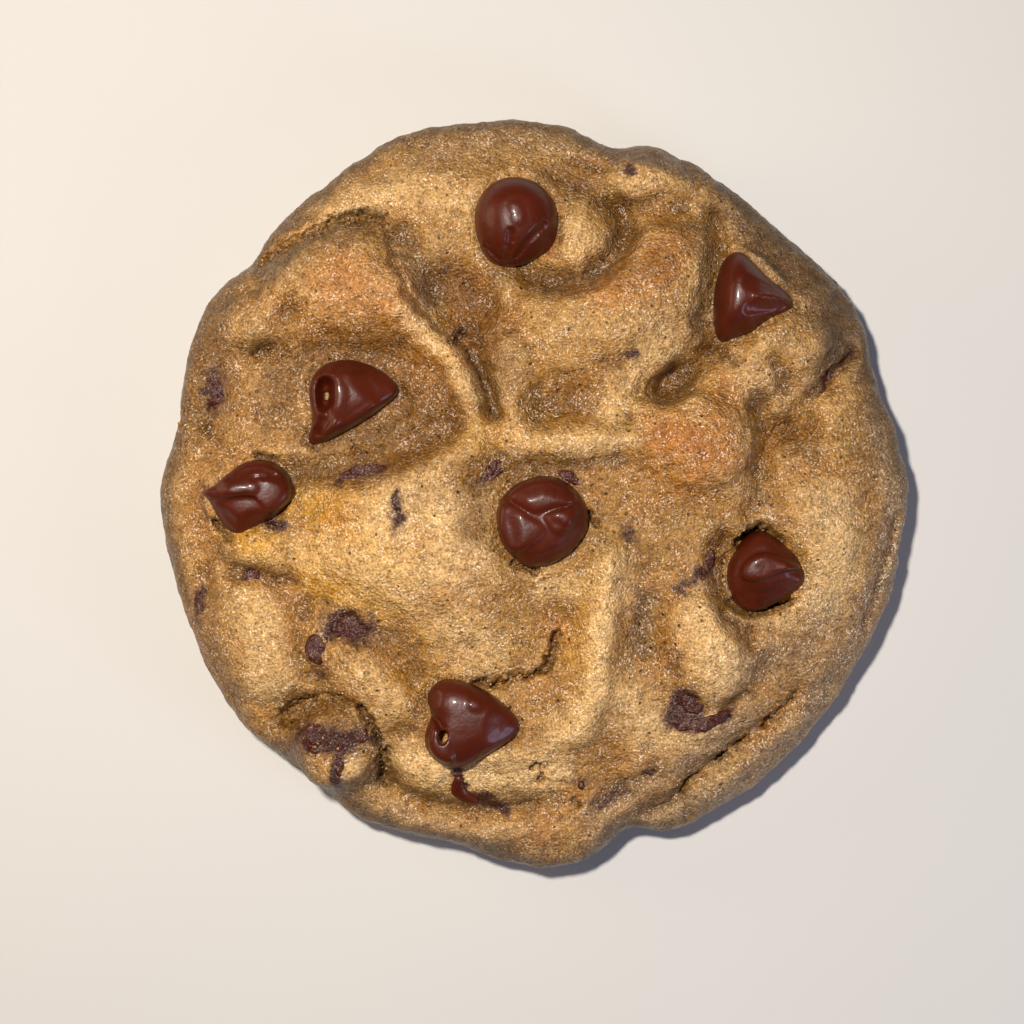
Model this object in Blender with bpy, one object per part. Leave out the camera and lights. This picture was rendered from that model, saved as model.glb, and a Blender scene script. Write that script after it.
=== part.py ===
"""Chocolate chip cookie: a thick, lumpy disc of baked dough with chocolate chips set in its top.

The cookie lies on its flat underside. +Z is up, and the origin is at the middle of the cookie's
bounding box, on the surface that it rests on. Lengths below are in millimetres, and the meshes
are built in metres.
"""
import math

import bmesh
import bpy
from mathutils import Vector

MM = 0.001

# The dough's section, from the middle outwards: a low dome that turns down over a round rim.
MEAN_RADIUS = 41.0        # widest, at RIM_HEIGHT
CROWN = 14.2              # the dome's height in the middle, without its lumps
DOME_POWER = 2.4          # how flat the dome stays before it falls to the rim
RIM_HEIGHT = 5.4          # height at which the cookie is widest
RIM_DEPTH = 5.0           # how far in from the widest line the rim's curve reaches
RIM_RISE = 4.4            # the rim's curve above its widest line
RIM_DROP = 7.2            # and below it, cut off flat where it meets the table
RIM_START = math.radians(62)   # angle on the rim's curve where the dome joins it

# The mesh: rings of triangles, ring k with 6 * k corners, so every facet is about as large.
DOME_RINGS = 23
SIDE_RINGS = 7

# Outline: (direction in degrees, bulge outwards, half width in degrees). Negative is a notch.
OUTLINE = [
    (0, 1.0, 7), (18, -0.8, 5), (30, 0.6, 7), (49, -0.8, 14), (78, -1.8, 4), (93, 0.5, 6),
    (110, 1.4, 12), (140, -0.8, 3), (151, 0.9, 7), (169, -0.9, 5), (181, 0.6, 6),
    (216, 0.3, 9), (231, -1.0, 5), (257, -0.9, 8), (272, 0.9, 8), (286, -2.4, 4), (345, 0.5, 8),
]

# Lumps and hollows: (x, y, half length, half width, turn in degrees, height).
LUMPS = [
    (-21.5, 23.6, 8.6, 5.6, -12, 2.2),
    (-13.5, -6.6, 12.0, 7.4, 14, 2.6),
    (-30.6, -6.0, 3.0, 2.2, 5, 1.3),
    (-31.0, -15.6, 6.6, 5.0, -60, 1.2),
    (-18.0, -21.0, 5.2, 4.4, -30, 1.6),
    (-21.2, -27.6, 4.6, 4.6, 0, 1.8),
    (-12.6, -30.8, 3.4, 3.4, 0, 1.1),
    (-1.0, -27.8, 5.0, 3.6, 10, 1.2),
    (19.9, -17.6, 4.6, 4.8, 0, 2.0),
    (32.0, -5.0, 4.6, 6.4, 0, 1.2),
    (19.0, 5.2, 5.8, 5.0, 0, 2.5),
    (10.6, 21.2, 9.8, 5.8, 32, 2.6),
    (4.6, 5.2, 6.6, 3.2, 8, 1.3),
    (27.2, 15.8, 5.6, 4.6, -35, 1.4),
    (33.0, 7.8, 2.6, 3.0, 0, 0.8),
    (12.8, 34.2, 4.8, 2.6, -15, 1.2),
    (5.6, 29.0, 2.8, 2.8, 0, 0.9),
    (-11.0, 33.0, 8.0, 3.2, 12, 0.8),
    (-31.4, 18.6, 3.4, 3.0, 0, 1.0),
    (-37.4, 7.6, 2.2, 3.2, 0, 0.6),
    (-7.0, 21.8, 4.6, 4.0, -20, -2.0),
    (3.6, 9.6, 3.6, 2.0, 8, -1.4),
    (-19.4, 10.0, 7.2, 6.4, 0, -2.4),
    (28.4, 6.6, 3.0, 1.8, 10, -1.4),
    (8.2, 30.8, 2.4, 1.6, 0, -1.2),
    (-29.8, 15.4, 1.9, 1.6, 0, -1.2),
    (-26.4, 19.4, 1.8, 1.8, 0, -0.6),
    (1.5, -14.5, 3.2, 5.0, 0, -0.9),
]

# Ridges and creases: (points along it, half width, height). Negative is a crease.
FOLDS = [
    ([(-14.6, 22.0), (-12.8, 19.6), (-10.4, 16.6)], 1.9, 1.2),
    ([(-9.6, 14.8), (-7.6, 11.8), (-5.8, 8.2)], 1.8, 1.2),
    ([(-21.0, -0.6), (-17.0, 1.0), (-11.0, 3.6), (-5.0, 5.4)], 2.0, 0.9),
    ([(8.2, -7.6), (8.2, -12.0), (7.2, -17.0), (7.0, -21.5), (5.0, -25.6)], 2.6, 1.4),
    ([(-15.4, 27.0), (-13.0, 22.6), (-10.8, 19.6), (-8.0, 17.2)], 1.8, -1.6),
    ([(-0.6, 24.4), (2.0, 22.8), (4.4, 22.6), (7.0, 24.2), (9.0, 26.8), (9.6, 29.2)], 1.8, -1.8),
    ([(13.4, 11.2), (15.4, 12.0), (19.6, 15.8)], 1.9, -2.8),
    ([(12.2, -8.8), (11.4, -13.4), (12.0, -18.0)], 2.3, -1.4),
    ([(12.4, 30.8), (18.4, 30.4)], 1.7, -1.0),
    ([(25.4, 8.6), (26.0, 5.0), (24.6, 1.0)], 1.7, -1.4),
    ([(-30.0, 25.5), (-26.8, 27.2), (-22.4, 29.8), (-18.0, 30.6), (-15.6, 29.6)], 1.6, -1.0),
    ([(-27.6, -24.4), (-24.0, -22.8), (-20.6, -22.2), (-18.2, -23.6), (-16.6, -26.8),
      (-16.6, -30.8)], 1.6, -1.4),
    ([(-16.4, -32.0), (-12.0, -34.0), (-6.0, -34.8), (2.0, -33.8)], 1.7, -1.2),
    ([(29.6, -22.0), (25.0, -26.2), (20.6, -29.2), (16.8, -32.4), (13.0, -34.8)], 1.6, -1.1),
    ([(34.4, -20.6), (29.8, -26.6), (24.0, -31.8), (16.0, -36.2)], 2.6, -1.2),
    ([(35.2, 15.3), (32.4, 12.6), (29.6, 9.6)], 1.6, -1.0),
    ([(-27.0, -9.6), (-21.0, -10.6), (-17.0, -13.0), (-13.0, -17.4)], 2.0, -1.0),
    ([(-5.0, -21.0), (-1.0, -19.9), (2.0, -17.6)], 1.6, -0.7),
    ([(-35.2, 9.0), (-35.6, 6.0)], 1.6, -0.6),
]

# Chips: (x, y, length, width, height, taper to the tip, direction of the tip, tilt of the tip
# upwards, height of its middle over the dough). Directions and tilts are in degrees.
TOP_CHIPS = [
    (-1.9, 29.5, 10.2, 9.5, 7.8, 0.30, -85, -8, 0.4),
    (24.3, 21.3, 8.8, 10.0, 7.6, 0.85, -4, -6, 0.4),
    (-19.2, 9.8, 10.2, 9.2, 6.0, 0.55, 8, 0, 1.4),
    (-31.0, -0.5, 9.8, 8.4, 6.4, 0.50, 185, -8, 0.5),
    (0.9, -3.1, 9.7, 9.7, 6.8, 0.10, -40, 0, 0.6),
    (25.5, -8.6, 9.2, 9.0, 7.2, 0.35, 5, 0, -0.8),
    (-6.6, -25.1, 10.3, 9.2, 6.2, 0.60, 6, -4, 0.8),
]
SUNK_CHIPS = [
    (-35.0, 11.6, 7.4, 6.4, 5.8, 0.20, 150, -25, -2.2),
    (-20.6, -15.8, 9.0, 7.0, 6.0, 0.30, 30, 0, -1.9),
    (-21.4, -27.6, 9.4, 8.4, 7.0, 0.25, 60, 0, -2.5),
    (17.2, -23.6, 9.0, 7.4, 6.4, 0.35, 25, 0, -2.1),
    (17.6, -8.2, 6.8, 5.8, 5.4, 0.30, 60, 0, -1.9),
]
CHIP_SIDES = 12
CHIP_ROWS = 8
CHIP_TIP_POWER = 1.6      # how late along the chip its taper starts
CHIP_GAP = 0.3            # clearance between a chip and the dough round it

DOUGH_COLOUR = (0.58, 0.35, 0.16)
DOUGH_ROUGHNESS = 0.7
CHOCOLATE_COLOUR = (0.11, 0.025, 0.012)
CHOCOLATE_ROUGHNESS = 0.25


def clear_scene():
    for thing in list(bpy.data.objects):
        bpy.data.objects.remove(thing, do_unlink=True)


def make_material(name, colour, roughness):
    material = bpy.data.materials.new(name)
    material.use_nodes = True
    shader = material.node_tree.nodes["Principled BSDF"]
    shader.inputs["Base Color"].default_value = (*colour, 1.0)
    shader.inputs["Roughness"].default_value = roughness
    shader.inputs["Metallic"].default_value = 0.0
    return material


def make_object(name, shape, material):
    """Turn a bmesh in millimetres into a smooth-shaded object in metres."""
    bmesh.ops.scale(shape, vec=(MM, MM, MM), verts=shape.verts)
    bmesh.ops.recalc_face_normals(shape, faces=shape.faces)
    mesh = bpy.data.meshes.new(name)
    shape.to_mesh(mesh)
    shape.free()
    mesh.shade_smooth()
    mesh.set_sharp_from_angle(angle=math.radians(50))
    mesh.materials.append(material)
    thing = bpy.data.objects.new(name, mesh)
    bpy.context.scene.collection.objects.link(thing)
    return thing


def outline_radius(angle):
    """The cookie's widest radius in one direction."""
    radius = MEAN_RADIUS
    for direction, bulge, half_width in OUTLINE:
        away = (math.degrees(angle) - direction + 180) % 360 - 180
        radius += bulge * math.exp(-(away / half_width) ** 2)
    return radius


def distance_to_path(x, y, path):
    nearest = math.inf
    for (ax, ay), (bx, by) in zip(path, path[1:]):
        along = ((x - ax) * (bx - ax) + (y - ay) * (by - ay)) / ((bx - ax) ** 2 + (by - ay) ** 2)
        along = min(max(along, 0.0), 1.0)
        away = math.hypot(x - ax - along * (bx - ax), y - ay - along * (by - ay))
        nearest = min(nearest, away)
    return nearest


def relief(x, y):
    """Height that the lumps, hollows, ridges and creases add to the dome at one place."""
    height = 0.0
    for lump_x, lump_y, half_length, half_width, turn, rise in LUMPS:
        cos, sin = math.cos(math.radians(turn)), math.sin(math.radians(turn))
        along = ((x - lump_x) * cos + (y - lump_y) * sin) / half_length
        across = ((y - lump_y) * cos - (x - lump_x) * sin) / half_width
        height += rise * math.exp(-math.hypot(along, across) ** 3)
    for path, half_width, rise in FOLDS:
        height += rise * math.exp(-(distance_to_path(x, y, path) / half_width) ** 2)
    return height


def dome_edge(angle):
    """Radius and height at which the dome meets the curve of the rim."""
    radius = outline_radius(angle) - RIM_DEPTH * (1.0 - math.cos(RIM_START))
    return radius, RIM_HEIGHT + RIM_RISE * math.sin(RIM_START)


def dome_height(radius, angle):
    edge_radius, edge_height = dome_edge(angle)
    fall = min(radius / edge_radius, 1.0) ** DOME_POWER
    return CROWN - (CROWN - edge_height) * fall


def dough_point(ring, step):
    """Corner number `step` of ring number `ring`, counted from the middle of the top."""
    if ring == 0:
        return Vector((0.0, 0.0, CROWN + relief(0.0, 0.0)))
    angle = math.tau * step / (6 * ring)
    if ring <= DOME_RINGS:
        radius = dome_edge(angle)[0] * ring / DOME_RINGS
        x, y = radius * math.cos(angle), radius * math.sin(angle)
        return Vector((x, y, dome_height(radius, angle) + relief(x, y)))
    # Down the rim: round its curve to the angle at which it meets the table.
    rim_end = -math.asin(RIM_HEIGHT / RIM_DROP)
    turn = RIM_START + (rim_end - RIM_START) * (ring - DOME_RINGS) / SIDE_RINGS
    radius = outline_radius(angle) - RIM_DEPTH * (1.0 - math.cos(turn))
    height = RIM_HEIGHT + (RIM_RISE if turn > 0 else RIM_DROP) * math.sin(turn)
    # The relief fades out on the way down, and pushes along the rim's normal.
    x, y = radius * math.cos(angle), radius * math.sin(angle)
    push = relief(x, y) * max(0.0, math.sin(turn)) / math.sin(RIM_START)
    radius += push * math.cos(turn)
    height = max(0.0, height + push * math.sin(turn))
    return Vector((radius * math.cos(angle), radius * math.sin(angle), height))


def dough_shape():
    """Rings of corners from the middle of the top to the bottom edge, closed by a flat base."""
    shape = bmesh.new()
    rings = []
    for ring in range(DOME_RINGS + SIDE_RINGS + 1):
        corners = [shape.verts.new(dough_point(ring, step)) for step in range(max(1, 6 * ring))]
        rings.append(corners)
    for ring in range(len(rings) - 1):
        inner, outer = rings[ring], rings[ring + 1]
        for sector in range(6):
            for step in range(ring + 1):
                a = outer[sector * (ring + 1) + step]
                b = outer[(sector * (ring + 1) + step + 1) % len(outer)]
                c = inner[(sector * ring + step) % len(inner)]
                shape.faces.new((a, b, c))
                if step < ring:
                    d = inner[(sector * ring + step + 1) % len(inner)]
                    shape.faces.new((c, b, d))
    base = shape.faces.new(reversed(rings[-1]))
    bmesh.ops.triangulate(shape, faces=[base])
    return shape


def chip_shape(length, width, height, taper):
    """A softened teardrop along +X: round at its foot, drawn in towards its tip."""
    shape = bmesh.new()
    bmesh.ops.create_uvsphere(shape, u_segments=CHIP_SIDES, v_segments=CHIP_ROWS, radius=1.0)
    for vertex in shape.verts:
        across, up, along = vertex.co
        slim = 1.0 - taper * ((along + 1.0) / 2.0) ** CHIP_TIP_POWER
        vertex.co = (along, across * slim, up * slim)
    # The taper also draws in the belly, so the shape is stretched back to its full sizes.
    for axis, size in enumerate((length, width, height)):
        low = min(vertex.co[axis] for vertex in shape.verts)
        high = max(vertex.co[axis] for vertex in shape.verts)
        for vertex in shape.verts:
            vertex.co[axis] = ((vertex.co[axis] - low) / (high - low) - 0.5) * size
    return shape


def add_chip(name, sizes, chocolate, cookie, pockets):
    """One chip in its place, and the hidden cutter that makes its pocket in the dough."""
    x, y, length, width, height, taper, direction, tilt, lift = sizes
    angle = math.atan2(y, x)
    place = Vector((x, y, dome_height(math.hypot(x, y), angle) + relief(x, y) + lift)) * MM
    chip = make_object(name, chip_shape(length, width, height, taper), chocolate)
    cutter = bpy.data.objects.new(name + "_pocket", chip.data)
    pockets.objects.link(cutter)
    clearance = cutter.modifiers.new("clearance", "DISPLACE")
    clearance.strength = CHIP_GAP * MM
    clearance.mid_level = 0.0
    cutter.hide_render = True
    cutter.display_type = "WIRE"
    for thing in (chip, cutter):
        thing.location = place
        thing.rotation_euler = (0.0, -math.radians(tilt), math.radians(direction))
        thing.parent = cookie


def main():
    clear_scene()
    dough_material = make_material("baked_dough", DOUGH_COLOUR, DOUGH_ROUGHNESS)
    chocolate = make_material("chocolate", CHOCOLATE_COLOUR, CHOCOLATE_ROUGHNESS)

    # Everything hangs on one empty, which brings the middle of the outline to the origin.
    cookie = bpy.data.objects.new("cookie", None)
    bpy.context.scene.collection.objects.link(cookie)

    dough = make_object("dough", dough_shape(), dough_material)
    dough.parent = cookie

    pockets = bpy.data.collections.new("pockets")
    bpy.context.scene.collection.children.link(pockets)
    for number, sizes in enumerate(TOP_CHIPS, start=1):
        add_chip(f"top_chip_{number}", sizes, chocolate, cookie, pockets)
    for number, sizes in enumerate(SUNK_CHIPS, start=1):
        add_chip(f"sunk_chip_{number}", sizes, chocolate, cookie, pockets)

    cut = dough.modifiers.new("pockets", "BOOLEAN")
    cut.operation = "DIFFERENCE"
    cut.solver = "EXACT"
    cut.operand_type = "COLLECTION"
    cut.collection = pockets

    xs = [vertex.co.x for vertex in dough.data.vertices]
    ys = [vertex.co.y for vertex in dough.data.vertices]
    cookie.location = (-(min(xs) + max(xs)) / 2, -(min(ys) + max(ys)) / 2, 0.0)


main()
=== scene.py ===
import math
import random

import bmesh
import bpy
import numpy as np
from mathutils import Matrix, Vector, noise
from mathutils.bvhtree import BVHTree
from mathutils.kdtree import KDTree


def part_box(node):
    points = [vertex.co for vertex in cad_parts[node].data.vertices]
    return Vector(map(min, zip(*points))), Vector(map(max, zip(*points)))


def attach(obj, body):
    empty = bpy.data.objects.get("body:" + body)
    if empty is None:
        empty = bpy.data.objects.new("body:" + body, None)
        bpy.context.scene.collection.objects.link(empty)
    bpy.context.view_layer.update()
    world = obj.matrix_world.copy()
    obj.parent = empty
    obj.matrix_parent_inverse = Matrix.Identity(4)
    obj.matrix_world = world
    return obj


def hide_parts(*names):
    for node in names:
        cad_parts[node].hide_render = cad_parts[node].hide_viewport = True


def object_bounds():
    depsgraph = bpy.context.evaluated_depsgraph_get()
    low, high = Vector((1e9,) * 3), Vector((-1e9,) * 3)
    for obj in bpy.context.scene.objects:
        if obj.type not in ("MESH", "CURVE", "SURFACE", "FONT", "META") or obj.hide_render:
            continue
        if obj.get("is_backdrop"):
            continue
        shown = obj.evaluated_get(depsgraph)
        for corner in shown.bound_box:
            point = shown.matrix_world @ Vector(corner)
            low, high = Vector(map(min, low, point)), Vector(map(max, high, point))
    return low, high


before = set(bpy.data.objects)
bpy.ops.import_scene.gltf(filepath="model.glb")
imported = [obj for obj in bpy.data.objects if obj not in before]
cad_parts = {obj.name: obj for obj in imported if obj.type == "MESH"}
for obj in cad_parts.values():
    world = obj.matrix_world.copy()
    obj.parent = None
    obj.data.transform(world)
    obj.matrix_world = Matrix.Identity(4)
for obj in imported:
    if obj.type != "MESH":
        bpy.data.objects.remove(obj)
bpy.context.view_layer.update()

# ---- Dough disc ----
# One round of soft brown-sugar dough, baked until its skin sets in lumps, folds and cracks.
# The plain disc of the frame gets its chip pockets filled and an even skin, which is then pressed
# and pulled. Places are in millimetres from the middle of the round, seen from above.
MM = 0.001
ROUND_MIDDLE = Vector((-0.22, 0.10, 0.0))
DOUGH_SKIN = 0.75         # size of one square of the skin before its top is made finer

feeler = KDTree(1)


def feel(turned_up=0.0):
    """Learn where the skin being worked on lies, seen from above, so that it can be grabbed."""
    global feeler
    shape = bmesh.from_edit_mesh(bpy.context.object.data)
    shape.normal_update()
    shape.verts.ensure_lookup_table()
    upper = [v for v in shape.verts if v.normal.z > turned_up and not v.hide]
    feeler = KDTree(len(upper))
    for v in upper:
        feeler.insert((v.co.x, v.co.y, 0.0), v.index)
    feeler.balance()


def along(path, step=0.4):
    """Even steps along a line of points, the way a thumb would run along it."""
    if len(path) == 1:
        return [Vector(path[0])]
    walked = []
    for start, end in zip(path, path[1:]):
        start, end = Vector(start), Vector(end)
        count = max(1, round((end - start).length / step))
        walked += [start.lerp(end, i / count) for i in range(count)]
    return walked + [Vector(path[-1])]


def ragged(path, wobble=0.45):
    """The same line, torn instead of cut."""
    torn_line = []
    for x, y in along(path, 0.2):
        for size in (0.9, 2.6):
            x += wobble * noise.noise((x * size, y * size, 0.0))
            y += wobble * noise.noise((x * size, y * size, 9.0))
        torn_line.append((x, y))
    return torn_line


def mould(path, by, reach, falloff="SMOOTH", thumb=0.4):
    """Grab the skin under a thumb run along a path, and move it: by is up, or (right, back, up)."""
    bpy.ops.mesh.select_all(action="DESELECT")
    shape = bmesh.from_edit_mesh(bpy.context.object.data)
    shape.verts.ensure_lookup_table()
    found = 0
    for x, y in along(path, max(0.14, 0.7 * thumb)):
        at = ((x + ROUND_MIDDLE.x) * MM, (y + ROUND_MIDDLE.y) * MM, 0.0)
        for place, index, gap in feeler.find_range(at, thumb * MM):
            shape.verts[index].select = True
            found += 1
    if not found:
        return
    if not isinstance(by, tuple):
        by = (0.0, 0.0, by)
    bpy.ops.transform.translate(
        value=Vector(by) * MM, use_proportional_edit=True, use_proportional_connected=False,
        proportional_edit_falloff=falloff, proportional_size=reach * MM)


def pick(piece):
    """Select one piece alone, to work on it."""
    bpy.ops.object.select_all(action="DESELECT")
    piece.select_set(True)
    bpy.context.view_layer.objects.active = piece


def finish_with(piece, kind, **settings):
    """Give a piece one modifier and apply it at once."""
    pick(piece)
    change = piece.modifiers.new(kind.title(), kind)
    for name, value in settings.items():
        setattr(change, name, value)
    bpy.ops.object.modifier_apply(modifier=change.name)


def merged_copy(solid, name):
    """A copy of one of the frame's solids with its loose triangles joined up, left in edit mode."""
    piece = bpy.data.objects.new(name, solid.data.copy())
    bpy.context.scene.collection.objects.link(piece)
    pick(piece)
    bpy.ops.object.mode_set(mode="EDIT")
    bpy.ops.mesh.select_all(action="SELECT")
    bpy.ops.mesh.remove_doubles(threshold=0.000001)
    return piece


dough = merged_copy(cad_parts["dough"], "baked_dough_disc")
bpy.ops.object.mode_set(mode="OBJECT")

# Plugs of dough, a little wider than the chips, fill the pockets up to where the skin runs round each.
PLUG_WIDER = 1.14
FILLED_UNDER_TOP_CHIP = 0.46
FILLED_UNDER_SUNK_CHIP = 0.82
for chip_name in sorted(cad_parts):
    if "chip" not in chip_name:
        continue
    low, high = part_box(chip_name)
    filled = FILLED_UNDER_TOP_CHIP if chip_name.startswith("top") else FILLED_UNDER_SUNK_CHIP
    merged_copy(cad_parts[chip_name], "plug")
    bpy.ops.transform.resize(value=(PLUG_WIDER,) * 3, center_override=(low + high) / 2)
    bpy.ops.mesh.bisect(plane_co=(0, 0, low.z + filled * (high.z - low.z)), plane_no=(0, 0, 1),
                        use_fill=True, clear_outer=True)
    bpy.ops.object.mode_set(mode="OBJECT")
    dough.select_set(True)
    bpy.context.view_layer.objects.active = dough
    bpy.ops.object.join()

finish_with(dough, "REMESH", mode="VOXEL", voxel_size=DOUGH_SKIN * MM, use_smooth_shade=True)
finish_with(dough, "SMOOTH", factor=0.5, iterations=7)


def hide_underside(piece, below=2.2):
    """Leave only the top and sides of the piece within reach."""
    bpy.ops.mesh.reveal(select=False)
    bpy.ops.mesh.select_mode(type="VERT")
    bpy.ops.mesh.select_all(action="DESELECT")
    shape = bmesh.from_edit_mesh(piece.data)
    for v in shape.verts:
        v.select = v.co.z < below * MM
    bpy.ops.mesh.hide(unselected=False)


# Broad strokes with the thumbs: the lumps stand out and the valleys between them sink.
lumps_and_valleys = [
    # back left: a golden lump inside a smooth lip, with a deep valley on its right
    ([(-23, 23), (-18.5, 22.5)], 1.3, 5.5, "SPHERE", 2),
    ([(-17, 25), (-14.8, 21.8)], 0.7, 2.8, "SPHERE", 1),
    ([(-14.2, 27.6), (-12.6, 24.6), (-11.2, 21.4)], -1.5, 2.6, "SMOOTH", 0.6),
    ([(-9.4, 23), (-6, 20), (-7.6, 18.2)], -1.5, 3.4, "SMOOTH", 1),
    ([(-14, 19.2), (-11.5, 17.2), (-9.2, 15.2)], 1.2, 1.9, "SPHERE", 0.5),
    ([(-8.4, 13.4), (-6.6, 10.8)], 1, 1.7, "SPHERE", 0.5),
    ([(-7, 17.6), (-6, 14.2), (-5, 11.4), (-4.2, 8.2)], -1.7, 1.8),
    ([(-31.4, 18.6)], 0.9, 2.8, "SPHERE", 1),
    ([(-26.6, 19.6)], -0.9, 2.4, "SMOOTH", 0.6),
    ([(-29.8, 15.2), (-27.4, 15.6)], -0.7, 1.5),
    ([(-24, 16.4), (-16, 15.4)], -0.7, 2.4, "SMOOTH", 0.6),
    ([(-35.4, 7), (-34.6, 5.6)], -0.4, 1.6, "SMOOTH", 0.5),
    ([(-24, 28.6), (-19, 31.8), (-14, 33)], 0.5, 2.6, "SMOOTH", 0.6),
    # back: the valley under the round chip, and the long toasted lump in front of it
    ([(-1, 24.6), (2, 22.8), (4.6, 22.4), (7.4, 23.8), (9.6, 26), (10.6, 28.6)], -1.6, 2.1, "SMOOTH", 0.5),
    ([(5.4, 26.8), (6.6, 29.8)], 1.1, 2.6, "SPHERE", 0.8),
    ([(7.6, 32), (10, 30.8)], -1.4, 1.6),
    ([(11, 34.6), (14.8, 34)], 0.9, 2.4, "SPHERE", 0.8),
    ([(11.8, 31.6), (16, 32)], -0.9, 2, "SMOOTH", 0.5),
    ([(4, 18.8), (10, 20.6), (15, 24.4)], 1.2, 4.6, "SPHERE", 1.4),
    ([(20, 30.6), (20.4, 27.6), (19.2, 22), (18.4, 18.4)], -1.6, 2.2),
    # middle: hollow, bands and the pit
    ([(-2.6, 15.4), (-2.8, 11.2), (-2, 7.4)], 0.8, 1.7, "SPHERE", 0.4),
    ([(0.8, 9.4), (3.4, 10.6), (5.6, 9.8)], -1.1, 3.4, "SMOOTH", 0.6),
    ([(-2, 5), (5, 5.6), (11, 5.4)], 0.8, 2.2, "SMOOTH", 0.5),
    ([(0.6, 2.8), (5, 2.9), (9.4, 3.2)], -0.8, 1.4, "SMOOTH", 0.3),
    ([(14.8, 11.2), (15.8, 12.2)], -2.8, 2.1, "SMOOTH", 0.9),
    ([(17.2, 13.4), (18.8, 14.8), (19.8, 16.4)], -0.5, 1.4),
    ([(12, 13.8), (14.4, 15.4), (17.6, 17.4)], 0.7, 1.8, "SPHERE", 0.4),
    ([(15.6, 6.8), (19.2, 5.2)], 1.3, 4.2, "SPHERE", 1.4),
    ([(24.6, 9.8), (25.4, 5.6), (24.6, 2.4)], -1.7, 2),
    ([(24.4, 0.6), (23.4, -2.4)], -0.8, 1.8),
    ([(12, 6.4), (12, 3.2)], -0.6, 1.1, "SMOOTH", 0.3),
    # right: knuckles of dough
    ([(22.6, 14.2), (24.4, 11.8)], 1, 2.2, "SPHERE", 0.6),
    ([(27, 17.2), (30, 16.2)], 1, 2.8, "SPHERE", 0.9),
    ([(31, 21)], 0.8, 1.9, "SPHERE", 0.5),
    ([(26.6, 14.4), (27.6, 11.6)], -0.9, 1.8),
    ([(35, 15), (33, 13.2), (31, 11), (28.4, 8.2)], -0.9, 1.6),
    ([(27.2, 6.8), (30.6, 7.4)], -1.4, 1.8, "SMOOTH", 0.5),
    ([(28, 2.6), (33.6, 2.4)], 0.7, 3, "SPHERE", 1),
    ([(29.6, -1.6), (33, -6)], 0.8, 3.4, "SMOOTH", 1.2),
    ([(20.6, -5), (19.9, -9), (21, -13.2), (23.4, -16)], -1.7, 1.9),
    ([(40, -3), (38.4, -9), (36.8, -14.4)], -0.5, 1.3, "SMOOTH", 0.3),
    # the great smooth lump on the left, golden down its front
    ([(-19.5, -1.6), (-13, 0.8), (-7.5, 3.8)], 0.9, 2.6, "SMOOTH", 0.8),
    ([(-26, 2), (-20, 2.6), (-14, 4.4), (-9, 7.4)], -1.3, 2.4, "SMOOTH", 0.6),
    ([(-18, -5), (-12, -7.5), (-8, -11)], 0.7, 5, "SPHERE", 1.4),
    ([(-27, -11.2), (-22.6, -13), (-18, -16.4), (-14.2, -19.8)], -0.8, 2.3, "SMOOTH", 0.6),
    ([(-32, -5.8), (-28.6, -6.6)], 1.1, 2.2, "SPHERE", 0.7),
    ([(-32.6, -8.4), (-29, -9.2), (-26, -9.8)], -1.1, 1.7),
    ([(-36.2, -8.6), (-35.8, -11.4)], -0.8, 1.5),
    ([(-31, -14.2), (-30, -19)], 0.7, 3.6, "SPHERE", 1.2),
    ([(-25.2, -13.4), (-25.2, -17.6), (-23.6, -20.4)], -0.9, 2.2),
    ([(-19.4, -19), (-16.2, -22.6)], 1, 3, "SPHERE", 1),
    ([(-21, -27.6)], 1.1, 3.8, "SPHERE", 1.6),
    ([(-26.4, -25.4), (-24, -23.2), (-20.6, -22.8)], -1, 1.6),
    # front: the long ridge, the valley on its right, and the layered rim
    ([(8.4, -7.4), (8, -12), (7.2, -17), (7, -21.5), (5.6, -25.4)], 1, 2.5, "SMOOTH", 0.5),
    ([(3.4, -12.4), (3.6, -16)], -0.6, 2.2, "SMOOTH", 0.6),
    ([(12.4, -11.6), (12.1, -14), (12.2, -16.6)], -0.6, 1.9, "SMOOTH", 0.5),
    ([(18.8, -15.4), (20.2, -19.2)], 1.2, 3.6, "SPHERE", 1.2),
    ([(25.6, -18.6), (24.2, -21), (21.6, -23.2)], -0.8, 1.8),
    ([(-4.4, -28.8), (0, -28.6), (3.4, -27.2)], 0.4, 1.8),
    ([(-16.5, -31.5), (-12.4, -33.8), (-9, -34.6), (-4, -34.9), (0, -34.2)], -0.8, 1.5, "SMOOTH", 0.3),
    ([(-14, -36.2), (-8, -37.2), (-2, -37.4)], 0.6, 2),
    ([(13.6, -30.4), (10.2, -32.4), (7.2, -34.4)], -1, 1.7),
    ([(29.4, -22), (27, -24.5), (25, -26), (22.5, -27.7), (20.5, -29)], -0.6, 1.1, "SMOOTH", 0.3),
    ([(20.5, -29), (16.8, -32.2), (15.3, -34.2), (12, -35.4)], -0.9, 1.2, "SMOOTH", 0.3),
    ([(29, -25.4), (24, -30), (18, -33.8)], 0.6, 1.9),
]
bpy.ops.object.mode_set(mode="EDIT")
hide_underside(dough)
feel()
for stroke in lumps_and_valleys:
    mould(*stroke)
bpy.ops.mesh.reveal(select=False)
bpy.ops.object.mode_set(mode="OBJECT")
finish_with(dough, "SMOOTH", factor=0.5, iterations=2)

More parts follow.
